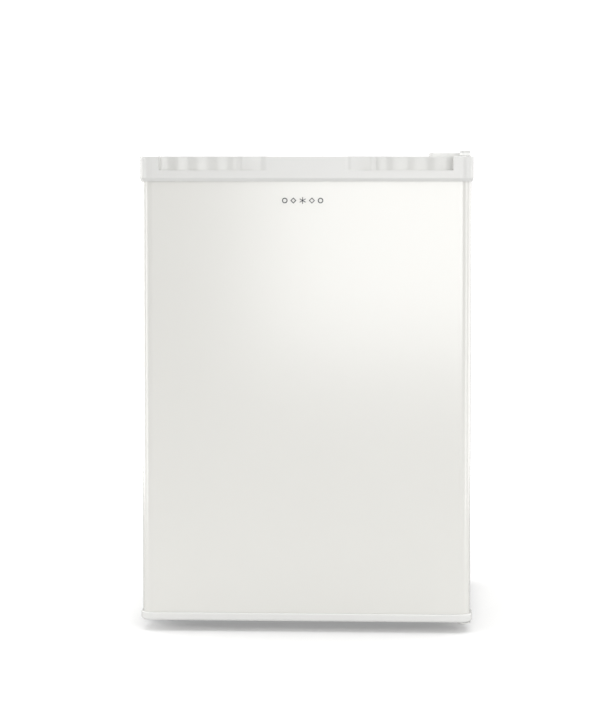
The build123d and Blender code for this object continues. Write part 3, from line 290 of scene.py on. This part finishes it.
# %% [markdown]
# ## Who wears what
#
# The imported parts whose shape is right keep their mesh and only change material.

# %% Assign the finishes
WEARS = {
    door_paint: "door_skin",
    side_paint: "cabinet_shell",
    black_paint: "compressor_mount compressor_lower_shell compressor_upper_shell condenser_tube"
    " condenser_wires",
    cap_plastic: "door_top_cap door_bottom_cap door_plugs cabinet_top_plugs",
    liner_plastic: "inner_liner door_liner",
    white_plastic: "evaporator_hangers thermostat_housing thermostat_knob freezer_frame hinge_bushes"
    " lower_shelf_trims upper_shelf_trims",
    cover_painted_light_plastic: "top_hinge_cover",
    white_enamel: "bottom_hinge_bracket",
    black_plastic: "rear_feet front_left_foot front_right_foot cord_clamp wall_spacers relay_cover"
    " thermostat_switch",
    rubber: "compressor_grommets",
    magnet: "gasket_magnets",
    foam: "cabinet_foam door_foam",
    vinyl: "door_gasket",
    clear_plastic: "drip_tray bottle_rack middle_rack upper_rack",
    blue_plastic: "freezer_flap",
    shelf_glass: "lower_shelf_glass upper_shelf_glass",
    galvanised: "back_panel base_pan engine_plate top_hinge_bracket condenser_clips",
    copper: "sensor_tube capillary_tube filter_drier suction_tube discharge_tube liquid_tube",
    plated: "foot_sockets hinge_screws panel_screws compressor_bolts hinge_pins",
    aluminium: "evaporator_box",
    cast_iron: "compressor_pump",
    foil: "door_emblem",
}
dressed = set()
for finish, names in WEARS.items():
    for name in names.split():
        slots = nodes[name].data.materials
        slots.clear()
        slots.append(finish)
        dressed.add(name)
print("dressed:", len(dressed), "left out:", sorted(set(nodes) - dressed))

# %% [markdown]
# ## Small helpers for new pieces
#
# A piece is built from its own vertices and faces, shaded smooth, and handed to the body that it moves with.


# %% Make a piece
def piece(name, points, faces, finish, body, slot, smooth=True, crease=180):
    """A mesh object from points in mm. Edges bent by more than crease degrees stay sharp."""
    mesh = bpy.data.meshes.new(name)
    mesh.from_pydata([Vector(p) * MM for p in points], [], faces)
    mesh.validate()
    work = bmesh.new()
    work.from_mesh(mesh)
    bmesh.ops.recalc_face_normals(work, faces=work.faces)
    work.to_mesh(mesh)
    work.free()
    mesh.materials.append(finish)
    for face in mesh.polygons:
        face.use_smooth = smooth
    mesh.set_sharp_from_angle(angle=math.radians(crease))
    made = bpy.data.objects.new(name, mesh)
    bpy.context.scene.collection.objects.link(made)
    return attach(made, body)


# %% [markdown]
# ## The door seal
#
# A real seal is a thin vinyl extrusion: a foot that grips the door liner, a bellows that folds, and a
# hollow nose round a magnet. The four lengths are welded at mitred corners. Here its cross-section is
# carried round a rounded rectangle, which gives the folds that a plain block can't show.

# %% Seal
low_corner, high_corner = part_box("door_gasket")
SEAL_HALF = high_corner.x / MM
SEAL_LOW, SEAL_HIGH = low_corner.z / MM, high_corner.z / MM
SEAL_FOOT = low_corner.y / MM
SEAL_CORNER = 6.0
SEAL_SECTION = [
    (3.2, 0.0), (2.2, 1.2), (3.8, 2.2), (1.6, 3.3), (2.8, 4.4), (0.7, 5.0), (0.1, 6.2), (0.2, 7.7),
    (1.2, 8.5), (4.0, 8.7), (13.0, 8.7), (15.8, 8.5), (16.8, 7.7), (16.9, 6.2), (16.3, 5.0),
    (14.2, 4.4), (15.4, 3.3), (13.2, 2.2), (14.8, 1.2), (13.8, 0.0),
]  # (inset from the outer edge, height above the foot)


def rounded_loop(half, low, high, inset, radius, y, steps=6):
    """Points round an upright rectangle with rounded corners, moved in by inset."""
    r = max(radius - inset, 0.4)
    x, bottom, top = half - inset - r, low + inset + r, high - inset - r
    loop = []
    for quarter, (cx, cz) in enumerate(((x, top), (-x, top), (-x, bottom), (x, bottom))):
        for step in range(steps + 1):
            angle = math.radians(90 * quarter + 90 * step / steps)
            loop.append((cx + r * math.cos(angle), y, cz + r * math.sin(angle)))
    return loop


def loft(loops, closed=True):
    """Faces between neighbouring loops of equal length."""
    count = len(loops[0])
    rows = len(loops)
    faces = []
    for row in range(rows if closed else rows - 1):
        for k in range(count):
            a, b = row * count, ((row + 1) % rows) * count
            faces.append((a + k, a + (k + 1) % count, b + (k + 1) % count, b + k))
    return [p for loop in loops for p in loop], faces


def gather(parts):
    """One list of points and faces from many."""
    points, faces = [], []
    for part_points, part_faces in parts:
        faces += [tuple(k + len(points) for k in face) for face in part_faces]
        points += list(part_points)
    return points, faces


seal_loops = [
    rounded_loop(SEAL_HALF, SEAL_LOW, SEAL_HIGH, inset, SEAL_CORNER, SEAL_FOOT + height)
    for inset, height in SEAL_SECTION
]
seal = piece("seal_bellows", *loft(seal_loops), vinyl, "door", "door_gasket")
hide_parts("door_gasket")
print("seal faces:", len(seal.data.polygons))

# %% [markdown]
# ## Weld bead round the compressor
#
# The two drawn shells are joined by a rolled weld. It shows as a raised ring with fine even ripples.

# %% Weld bead
shell_low, shell_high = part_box("compressor_lower_shell")
PUMP_X = (shell_low.x + shell_high.x) / 2 / MM
PUMP_Y = (shell_low.y + shell_high.y) / 2 / MM
SEAM_Z = shell_high.z / MM
BEAD_STEPS = 180
BEAD_SIDES = 10
BEAD_RADIUS = 59.6
BEAD_WIDTH = 1.5
BEAD_HEIGHT = 1.9
RIPPLES = 60
RIPPLE = 0.16
bead_loops = []
for step in range(BEAD_STEPS):
    turn = 2 * math.pi * step / BEAD_STEPS
    swell = 1.0 + RIPPLE * math.sin(RIPPLES * turn)
    bead_slice = []
    for side in range(BEAD_SIDES):
        angle = 2 * math.pi * side / BEAD_SIDES
        radius = BEAD_RADIUS + BEAD_WIDTH * swell * math.cos(angle)
        x, y = PUMP_X + radius * math.cos(turn), PUMP_Y + radius * math.sin(turn)
        bead_slice.append((x, y, SEAM_Z + BEAD_HEIGHT * swell * math.sin(angle)))
    bead_loops.append(bead_slice)
bead = piece("compressor_weld_bead", *loft(bead_loops), black_paint, "cabinet", "compressor_lower_shell")
print("bead at mm:", round(SEAM_Z, 1), "faces:", len(bead.data.polygons))

# %% [markdown]
# ## Fluted finger grips
#
# The two hollows in the top of the door have a wavy back wall, so that fingers don't slip sideways. The
# waves are shallow, and they show mostly as soft upright bands of light. The wall is a thin solid that
# follows the hollow's plan. Its front is pushed out by a wave, which fades away at both ends.

# %% Grip walls
# The grip walls are the cap's plastic made a little darker: painted shade in the finger hollows.
grip_painted_shade_plastic = plastic("grip_painted_shade_plastic", (0.765, 0.765, 0.748), (0.745, 0.745, 0.728), 0.0009, 0.000003, 0.13)
cap_low, cap_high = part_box("door_top_cap")
CAP_FACE = cap_low.y / MM
WALL_GAP = 0.3
WALL_OUTER = 193.5 - WALL_GAP
WALL_INNER = 92.0
WALL_BACK = CAP_FACE + 20 - WALL_GAP
WALL_LOW = 611.2
WALL_HIGH = cap_high.z / MM - 1.4
WALL_THICKNESS = 0.25
WALL_PLAN = [(WALL_OUTER, CAP_FACE + 1.5), (WALL_OUTER, WALL_BACK), (WALL_INNER, WALL_BACK)]
WALL_CORNER = 5.0
FLUTE_DEPTH = 1.6
FLUTE_WAVE = 4.2  # a flute repeats every 2 pi times this, about 26 mm
DRIFT_WAVE = 17  # and the flutes' depth over 2 pi times this, about 107 mm
FADE_IN = 24
FADE_OUT_POINTS = 8


def rounded_path(corners, radius, spacing):
    """Evenly spaced points along a path whose inner corners are rounded."""
    dense = [Vector(corners[0])]
    for before, corner, after in zip(corners, corners[1:], corners[2:]):
        before, corner, after = Vector(before), Vector(corner), Vector(after)
        enter = corner + (before - corner).normalized() * radius
        leave = corner + (after - corner).normalized() * radius
        for step in range(9):
            t = step / 8
            dense.append(enter * (1 - t) ** 2 + corner * 2 * t * (1 - t) + leave * t**2)
    dense.append(Vector(corners[-1]))
    points = [dense[0]]
    for start, end in zip(dense, dense[1:]):
        count = max(1, round((end - start).length / spacing))
        points += [start.lerp(end, k / count) for k in range(1, count + 1)]
    return points


def flute_height(distance):
    """Depth of the waves at this distance along the wall, changing a little from wave to wave."""
    wave = 0.5 - 0.5 * math.cos(distance / FLUTE_WAVE)
    return FLUTE_DEPTH * wave * (0.75 + 0.25 * math.sin(distance / DRIFT_WAVE))


def grip_wall(name, side):
    """A wavy upright wall in one finger hollow; side is 1 for the right-hand one."""
    plan = rounded_path(WALL_PLAN, WALL_CORNER, 1.6)
    travelled = 0.0
    slices = []
    for k, point in enumerate(plan):
        ahead, behind = plan[min(k + 1, len(plan) - 1)], plan[max(k - 1, 0)]
        along = (ahead - behind).normalized()
        inwards = Vector((along.y, along.x)) if along.x < -0.5 else Vector((-1.0, 0.0))
        travelled += (point - plan[max(k - 1, 0)]).length
        ends = min(1.0, travelled / FADE_IN, (len(plan) - 1 - k) / FADE_OUT_POINTS)
        moved = point + inwards * flute_height(travelled) * max(ends, 0.0)
        rear = point - inwards * WALL_THICKNESS
        corners = [(moved, WALL_LOW), (moved, WALL_HIGH), (rear, WALL_HIGH), (rear, WALL_LOW)]
        slices.append([(side * place.x, place.y, z) for place, z in corners])
    points, faces = loft(slices, closed=False)
    faces += [(3, 2, 1, 0), tuple(range(len(points) - 4, len(points)))]
    return piece(name, points, faces, grip_painted_shade_plastic, "door", "door_top_cap", crease=40)


for name, side in (("grip_wall_right", 1), ("grip_wall_left", -1)):
    wall = grip_wall(name, side)
    print(name, "faces:", len(wall.data.polygons))

# %% [markdown]
# ## Painted shade on the hinge pivot
#
# The round boss over the hinge pin pokes through the cover. A thin band round its side, with a soft upper
# edge, in a greyer copy of the cover's plastic, is painted shade on the side of the boss.

# %% Painted shade band on the pivot
cover_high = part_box("top_hinge_cover")[1]
pin_low, pin_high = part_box("hinge_pins")
PIVOT_X = (pin_low.x + pin_high.x) / 2 / MM
PIVOT_Y = (pin_low.y + pin_high.y) / 2 / MM
PIVOT_TOP = cover_high.z / MM
# A greyer copy of the cover's plastic: painted shade on the boss's side.
pivot_painted_shade_plastic = plastic("pivot_painted_shade_plastic", (0.68, 0.68, 0.665), (0.65, 0.65, 0.635), 0.0009, 0.000006, 0.3)
# (radius, height against the boss's top)
SHADE_BAND_SECTION = [(6.62, -1.9), (7.0, -1.9), (7.0, -0.7), (6.8, -0.3), (6.62, -0.35)]


def ring(x, y, z, radius, steps=48):
    """Points round an upright axis."""
    turns = [2 * math.pi * step / steps for step in range(steps)]
    return [(x + radius * math.cos(turn), y + radius * math.sin(turn), z) for turn in turns]


shade_band_loops = [ring(PIVOT_X, PIVOT_Y, PIVOT_TOP + z, radius) for radius, z in SHADE_BAND_SECTION]
piece("hinge_pivot_shade_band", *loft(shade_band_loops), pivot_painted_shade_plastic, "cabinet", "top_hinge_cover")
print("pivot at mm:", round(PIVOT_X, 1), round(PIVOT_Y, 1))

# %% [markdown]
# ## Cross-head screws in the back panel
#
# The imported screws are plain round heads. Each one is replaced by a domed head with a real cross recess.
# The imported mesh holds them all, so it is split into its separate islands, and each island's box says where
# a screw goes. The recess is the same ring of points as the head, pulled in to the outline of a cross and
# pushed down.

# %% Screws
HEAD_STEPS = 48
# (share of the radius, share of the head's height below its top)
HEAD_SECTION = [(1.0, 1.0), (1.0, 0.55), (0.93, 0.25), (0.80, 0.08), (0.66, 0.0)]
SHANK = 0.42
CROSS_ARM = 0.56
CROSS_WIDTH = 0.15
RECESS_TAPER = 0.8
RECESS_DEPTH = 0.8


def islands(node):
    """Lowest and highest corner, in mm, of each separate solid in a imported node."""
    work = bmesh.new()
    work.from_mesh(nodes[node].data)
    bmesh.ops.remove_doubles(work, verts=work.verts, dist=0.00001)
    todo, boxes = set(work.verts), []
    while todo:
        group, edge = set(), {todo.pop()}
        while edge:
            group |= edge
            edge = {e.other_vert(v) for v in edge for e in v.link_edges} & todo
            todo -= edge
        places = [v.co / MM for v in group]
        boxes.append([Vector([pick(p[axis] for p in places) for axis in range(3)]) for pick in (min, max)])
    work.free()
    return sorted(boxes, key=lambda box: (round(box[0].z), round(box[0].x)))


def cross_reach(turn):
    """How far the cross reaches at this angle, as a share of the head's radius."""
    off_arm = (turn + math.pi / 4) % (math.pi / 2) - math.pi / 4
    side = abs(math.sin(off_arm))
    return min(CROSS_ARM / math.cos(off_arm), CROSS_WIDTH / side if side > 0.001 else 1.0)


def screw(low, high, head):
    """A domed head with a cross recess, and its shank, along +Y."""
    x, z = (low.x + high.x) / 2, (low.z + high.z) / 2
    radius, top = (high.x - low.x) / 2, high.y
    section = [(SHANK, low.y), (SHANK, top - head)]
    section += [(share, top - drop * head) for share, drop in HEAD_SECTION]
    loops = [[(share * radius, y)] * HEAD_STEPS for share, y in section]
    turns = [2 * math.pi * step / HEAD_STEPS for step in range(HEAD_STEPS)]
    loops.append([(cross_reach(turn) * radius, top) for turn in turns])
    bottom = top - RECESS_DEPTH * head
    loops.append([(cross_reach(turn) * radius * RECESS_TAPER, bottom) for turn in turns])
    placed = [
        [(x + reach * math.cos(turn), y, z + reach * math.sin(turn)) for turn, (reach, y) in zip(turns, loop)]
        for loop in loops
    ]
    points, faces = loft(placed, closed=False)
    last = (len(placed) - 1) * HEAD_STEPS
    faces.append(tuple(range(last, last + HEAD_STEPS)))
    faces.append(tuple(reversed(range(HEAD_STEPS))))
    return points, faces


panel_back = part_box("back_panel")[1].y / MM
screw_boxes = islands("panel_screws")
screws = gather([screw(low, high, high.y - panel_back - 0.02) for low, high in screw_boxes])
screw_set = piece("cross_head_screws", *screws, plated, "cabinet", "panel_screws", smooth=False)
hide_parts("panel_screws")
print("screws:", len(screw_boxes), "head height mm:", round(screw_boxes[0][1].y - panel_back, 2))

# %% [markdown]
# ## Rails on the door racks
#
# A clear rack has an opaque rail over its rim, which stiffens it and hides the cut edge. In section the
# rail is an upside-down L: it covers the top of the wall and laps a few millimetres down its outside.

# %% Rack rails
RACK_CORNER = 10.0
RAIL_SECTION = [
    (-2.0, 0.02), (-2.0, 0.7), (-1.6, 1.0), (0.0, 1.0), (0.4, 0.7), (0.4, -6.0), (0.2, -6.3), (0.04, -6.0),
]  # (outwards from the wall's outer face, above the rim)


def plan_loop(low, high, grow, z):
    """A rectangle seen from above, rounded at the two corners that face the cabinet."""
    x, back, front = high.x / MM + grow, low.y / MM - grow, high.y / MM + grow
    r = RACK_CORNER + grow
    loop = [(-x, back, z), (x, back, z)]
    for side, start in ((1, 0), (-1, 90)):
        for step in range(9):
            angle = math.radians(start + 90 * step / 8)
            loop.append((side * (x - r) + r * math.cos(angle), front - r + r * math.sin(angle), z))
    return loop


for rack in ("bottle_rack", "middle_rack", "upper_rack"):
    low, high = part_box(rack)
    loops = [plan_loop(low, high, grow, high.z / MM + lift) for grow, lift in RAIL_SECTION]
    rail = piece(rack + "_rail", *loft(loops), white_plastic, rack, rack, smooth=False)
    print(rail.name, "z mm:", round(high.z / MM, 1))

# %% [markdown]
# ## Raised lines and a snow crystal on the freezer flap
#
# The flap is a thin moulding, so it is stiffened by a raised border. The middle has a generic snow crystal,
# six arms with two pairs of twigs each. The crystal and the ridges of the grip are made of small bars with a
# narrow top and a wider foot. The border is one section carried round a rounded rectangle.


# %% Ridges
SKIN = 0.01  # a raised piece starts this far in front of its surface


def ridge(start, end, width, height, out):
    """A bar from start to end on an upright plane. It stands out along Y, towards -Y where out is -1."""
    start, end = Vector(start), Vector(end)
    along = (end - start).normalized()
    across = Vector((-along.z, 0, along.x))
    points = []
    for centre, shift in ((start, -1), (end, 1)):
        for offset, lift in ((-0.5, 0), (-0.28, 1), (0.28, 1), (0.5, 0)):
            tip = along * shift * (0.2 - 0.15 * lift) * width
            points.append(centre + tip + across * offset * width + Vector((0, out * height * lift, 0)))
    faces = [(0, 1, 5, 4), (1, 2, 6, 5), (2, 3, 7, 6), (3, 0, 4, 7), (0, 3, 2, 1), (4, 5, 6, 7)]
    return points, faces


def border(half, low, high, radius, width, height, y, out):
    """A raised frame with sloping sides."""
    section = [(0.0, 0.0), (0.22 * width, height), (0.78 * width, height), (width, 0.0)]
    return loft([rounded_loop(half, low, high, inset, radius, y + out * lift) for inset, lift in section])


def crystal(x, y, z, reach, width, height, out):
    """Six arms with two pairs of twigs each."""
    centre = Vector((x, y, z))
    bars = []
    for arm in range(6):
        angle = math.radians(90 + 60 * arm)
        way = Vector((math.cos(angle), 0, math.sin(angle)))
        bars.append(ridge(centre + way * width * 0.5, centre + way * reach, width, height, out))
        for place, twig in ((0.45, 0.30), (0.72, 0.22)):
            for turn in (-1, 1):
                lean = angle + turn * math.radians(60)
                twig_way = Vector((math.cos(lean), 0, math.sin(lean)))
                base = centre + way * reach * place
                bars.append(ridge(base, base + twig_way * reach * twig, width * 0.8, height, out))
    return gather(bars)


# %% Freezer flap relief
flap_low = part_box("freezer_flap")[0]
FLAP_FACE = -50.0
FLAP_MIDDLE = 527.0
frost_plastic = plastic("frost_plastic", (0.66, 0.80, 0.90), (0.60, 0.76, 0.88), 0.0008, 0.00002, 0.3)
flap_border = border(
    half=150, low=487, high=566, radius=8, width=2.4, height=0.9, y=FLAP_FACE - SKIN, out=-1
)
piece("freezer_flap_border", *flap_border, frost_plastic, "freezer_flap", "freezer_flap")
flap_mark = crystal(0, FLAP_FACE - SKIN, FLAP_MIDDLE, reach=25, width=2.2, height=0.8, out=-1)
piece("freezer_flap_crystal", *flap_mark, frost_plastic, "freezer_flap", "freezer_flap", smooth=False)
lip_face = flap_low.y / MM - 2 * SKIN
GRIP_LOW, GRIP_HIGH = 476.2, 480.2
grip_bars = [
    ridge((x, lip_face, GRIP_LOW), (x, lip_face, GRIP_HIGH), width=1.1, height=0.5, out=-1)
    for x in range(-36, 37, 4)
]
grip = gather(grip_bars)
piece("freezer_flap_grip_ridges", *grip, frost_plastic, "freezer_flap", "freezer_flap", smooth=False)
print("flap relief faces:", len(flap_border[1]) + len(flap_mark[1]) + len(grip[1]))

# %% [markdown]
# ## Ribs of the vacuum-formed liners
#
# A large flat wall of thin plastic would ring and dent, so the tool has shallow beads in it: upright ones
# on the cabinet's back wall, and a frame on the plain upper part of the door.

# %% Liner ribs
LINER_BACK = 158.0
RIB_LOW, RIB_HIGH = 250, 452
rib_face = LINER_BACK - SKIN
rib_bars = [
    ridge((x, rib_face, RIB_LOW), (x, rib_face, RIB_HIGH), width=9, height=1.2, out=-1)
    for x in range(-150, 151, 30)
]
piece("liner_back_ribs", *gather(rib_bars), liner_plastic, "cabinet", "inner_liner", smooth=False)
DOOR_PLATE = -186.0
door_frame = border(
    half=118, low=412, high=552, radius=14, width=5.0, height=0.9, y=DOOR_PLATE + SKIN, out=1
)
piece("door_liner_frame", *door_frame, liner_plastic, "door", "door_liner")
door_mark = crystal(0, DOOR_PLATE + SKIN, 482, reach=32, width=3.0, height=0.9, out=1)
piece("door_liner_crystal", *door_mark, liner_plastic, "door", "door_liner", smooth=False)
print("back ribs:", len(rib_bars))

# %% [markdown]
# ## Refrigerant channels in the evaporator
#
# The freezer box is two aluminium sheets rolled together, with one long channel blown up between them. It
# runs to and fro under the frozen food. A curve with a round bevel gives it, set into the sheet's underside.


# %% Channels
def tube(name, route, radius, finish, body):
    """A round tube along a route, as a mesh."""
    curve = bpy.data.curves.new(name + "_line", "CURVE")
    curve.dimensions = "3D"
    curve.bevel_depth = radius * MM
    curve.bevel_resolution = 3
    curve.use_fill_caps = True
    line = curve.splines.new("NURBS")
    line.points.add(len(route) - 1)
    for point, place in zip(line.points, route):
        point.co = (*(Vector(place) * MM), 1)
    line.order_u = 3
    line.use_endpoint_u = True
    line.resolution_u = 6
    holder = bpy.data.objects.new(name + "_line", curve)
    mesh = bpy.data.meshes.new_from_object(holder)
    bpy.data.objects.remove(holder)
    mesh.materials.clear()
    mesh.materials.append(finish)
    made = bpy.data.objects.new(name, mesh)
    bpy.context.scene.collection.objects.link(made)
    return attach(made, body)


FREEZER_UNDERSIDE = 466.0
CHANNEL_Z = FREEZER_UNDERSIDE - 0.6
CHANNEL_RADIUS = 2.2
CHANNEL_END = 148
channel = []
for k, y in enumerate(range(-22, 139, 20)):
    start = -CHANNEL_END if k % 2 == 0 else CHANNEL_END
    for x in (start, start * 0.93, -start * 0.93, -start):
        channel.append((x, y, CHANNEL_Z))
channels = tube("evaporator_channels", channel, CHANNEL_RADIUS, aluminium, "cabinet")
print("channel faces:", len(channels.data.polygons))

# %% [markdown]
# ## Scale of the thermostat
#
# The user reads the dial against a scale on the housing: short ticks over three quarters of a turn, and the
# numbers 1, 3 and 5 above it. The numbers are text set in the built-in typeface and turned into a mesh.

# %% Ticks and numbers
print_ink = plastic("print_ink", (0.05, 0.07, 0.10), (0.06, 0.08, 0.11), 0.0006, 0.000002, 0.4)
knob_low, knob_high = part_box("thermostat_knob")
DIAL_X = (knob_low.x + knob_high.x) / 2 / MM
DIAL_Z = (knob_low.z + knob_high.z) / 2 / MM
HOUSING_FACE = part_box("thermostat_housing")[0].y / MM
TICKS = 13
SWEEP = 270
TICK_START, TICK_END = 15.9, 17.3
NUMBER_RISE = 18.6
NUMBER_DROP = 0.12
NUMBER_HEIGHT = 6
ticks = []
for tick in range(TICKS):
    angle = math.radians(-SWEEP / 2 + SWEEP / (TICKS - 1) * tick)
    way = Vector((math.sin(angle), 0, math.cos(angle)))
    centre = Vector((DIAL_X, HOUSING_FACE - SKIN, DIAL_Z))
    ticks.append(ridge(centre + way * TICK_START, centre + way * TICK_END, width=0.5, height=0.08, out=-1))
piece("thermostat_ticks", *gather(ticks), print_ink, "cabinet", "thermostat_housing", smooth=False)


def numeral(name, text, x, z, height):
    """A number that stands out slightly from the housing's front."""
    letter = bpy.data.curves.new(name + "_text", "FONT")
    letter.body = text
    letter.size = height * MM
    letter.extrude = 0.06 * MM
    letter.align_x = "CENTER"
    holder = bpy.data.objects.new(name + "_text", letter)
    mesh = bpy.data.meshes.new_from_object(holder)
    bpy.data.objects.remove(holder)
    for vertex in mesh.vertices:
        across, up, out = vertex.co
        vertex.co = (across + x * MM, (HOUSING_FACE - 0.07) * MM - out, up + z * MM)
    mesh.materials.clear()
    mesh.materials.append(print_ink)
    made = bpy.data.objects.new(name, mesh)
    bpy.context.scene.collection.objects.link(made)
    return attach(made, "cabinet")


for text, x in (("1", -11), ("3", 0), ("5", 11)):
    z = DIAL_Z + NUMBER_RISE - abs(x) * NUMBER_DROP
    numeral("thermostat_number_" + text, text, DIAL_X + x, z, NUMBER_HEIGHT)
pointer_y = knob_low.y / MM - SKIN
pointer_low, pointer_high = (DIAL_X, pointer_y, DIAL_Z + 3), (DIAL_X, pointer_y, DIAL_Z + 9)
pointer = ridge(pointer_low, pointer_high, width=0.9, height=0.1, out=-1)
piece("thermostat_pointer", *pointer, print_ink, "thermostat_knob", "thermostat_knob", smooth=False)
print("dial at mm:", round(DIAL_X, 1), round(DIAL_Z, 1), "ticks:", len(ticks))

# %% [markdown]
# ## Studio
#
# A white product on white needs light that comes from everywhere, and one larger, brighter source that
# gives the panel a direction. The world is the fill. A large soft box in front and to the right gives the
# gradient, two strips and two walls of light stand at the sides, and a light above keeps the floor white. The
# floor is a plain pale sheet. It glows a little, but only for the eye of the camera, so that its far end
# melts into the background without throwing more light up at the door. It is left out of reflections, so
# that the door doesn't mirror its edge.

# %% Floor
FLOOR_SIZE = 1.7
bpy.ops.mesh.primitive_plane_add(size=FLOOR_SIZE, location=(0, 0, 0))
floor = bpy.context.object
floor.name = "studio_floor"
GLOW = 0.19
floor_finish = Finish("studio_floor_paint", Roughness=0.9, Specular_IOR_Level=0.1)
mottle = floor_finish.noise(0.8, 2.0)
floor_finish.feed(Base_Color=floor_finish.between(mottle, (0.80, 0.80, 0.80), (0.79, 0.79, 0.79)))
paint_only = Wire(floor_finish.tree, floor_finish.shader.outputs[0])
glow = floor_finish.node("ShaderNodeEmission", {}, {"Strength": GLOW})
glowing = floor_finish.node("ShaderNodeAddShader", {}, {0: paint_only, 1: glow})
seen_first = floor_finish.node("ShaderNodeLightPath", {}, {}, "Is Camera Ray")
lit_floor = floor_finish.node("ShaderNodeMixShader", {}, {0: seen_first, 1: paint_only, 2: glowing})
connect(floor_finish.tree, lit_floor, floor_finish.tree.nodes["Material Output"].inputs["Surface"])
floor.data.materials.append(floor_finish.material)
floor.visible_glossy = False
print("floor side m:", FLOOR_SIZE)

# %% World
FILL = 0.37
BACKDROP = 1.3
world = bpy.data.worlds.new("studio_world")
bpy.context.scene.world = world
world.use_nodes = True
sky = Graph(world.node_tree)
fill = sky.tree.nodes["Background"]
fill.inputs["Color"].default_value = (1.0, 0.995, 0.985, 1)
fill.inputs["Strength"].default_value = FILL
backdrop = sky.node("ShaderNodeBackground", {}, {"Color": (1, 1, 1, 1), "Strength": BACKDROP})
first_seen = sky.node("ShaderNodeLightPath", {}, {}, "Is Camera Ray")
fill_light = Wire(sky.tree, fill.outputs[0])
chosen = sky.node("ShaderNodeMixShader", {}, {0: first_seen, 1: fill_light, 2: backdrop})
connect(sky.tree, chosen, sky.tree.nodes["World Output"].inputs["Surface"])
print("fill:", FILL, "backdrop:", BACKDROP)


# %% Lights
def soft_box(name, place, aim, size, power):
    """A rectangular light at place that faces aim. Power is in watts."""
    light = bpy.data.lights.new(name, "AREA")
    light.shape = "RECTANGLE"
    light.size, light.size_y = size
    light.energy = power
    made = bpy.data.objects.new(name, light)
    made.location = place
    made.rotation_euler = (Vector(aim) - Vector(place)).to_track_quat("-Z", "Y").to_euler()
    bpy.context.scene.collection.objects.link(made)


soft_box("overhead_box", (0.0, 0.2, 3.4), (0, 0.2, 0), (5.0, 5.0), 124)
soft_box("key_box", (0.95, -3.7, 1.25), (0.95, -0.2, 1.25), (2.5, 2.3), 50)
soft_box("left_strip", (-2.2, -0.9, 0.7), (-0.2, -0.2, 0.4), (0.7, 1.8), 9)
soft_box("right_strip", (2.2, -0.9, 0.7), (0.2, -0.2, 0.4), (0.7, 1.8), 7)
soft_box("left_wall", (-2.3, 1.2, 0.9), (0, 0.4, 0.5), (2.4, 2.2), 32)
soft_box("right_wall", (2.3, 1.2, 0.9), (0, 0.4, 0.5), (2.4, 2.2), 20)
print("lights:", len(bpy.data.lights))

# %% [markdown]
# ## Camera
#
# The camera stands a little over three metres in front of the door, just below the height of its top and a
# little to the right. From there a long lens keeps the door's edges almost parallel. It is tilted down by
# three degrees, and a small shift does the rest of the framing.

# %% Camera
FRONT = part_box("door_skin")[0].y
DISTANCE = 3.2
YAW = math.radians(2.7)
EYE_HEIGHT = 0.613
LENS = 121.85
PITCH = math.radians(3.15)
SHIFT_ACROSS = -0.0079
SHIFT_DOWN = -0.0792
lens = bpy.data.cameras.new("studio_camera")
lens.lens = LENS
lens.sensor_width = 36
lens.shift_x = SHIFT_ACROSS
lens.shift_y = SHIFT_DOWN
camera = bpy.data.objects.new("studio_camera", lens)
bpy.context.scene.collection.objects.link(camera)
camera.location = (DISTANCE * math.sin(YAW), FRONT - DISTANCE * math.cos(YAW), EYE_HEIGHT)
camera.rotation_euler = (math.pi / 2 - PITCH, 0, YAW)
bpy.context.scene.camera = camera
bpy.context.scene.view_settings.view_transform = "Standard"
print("camera:", tuple(round(v, 3) for v in camera.location))
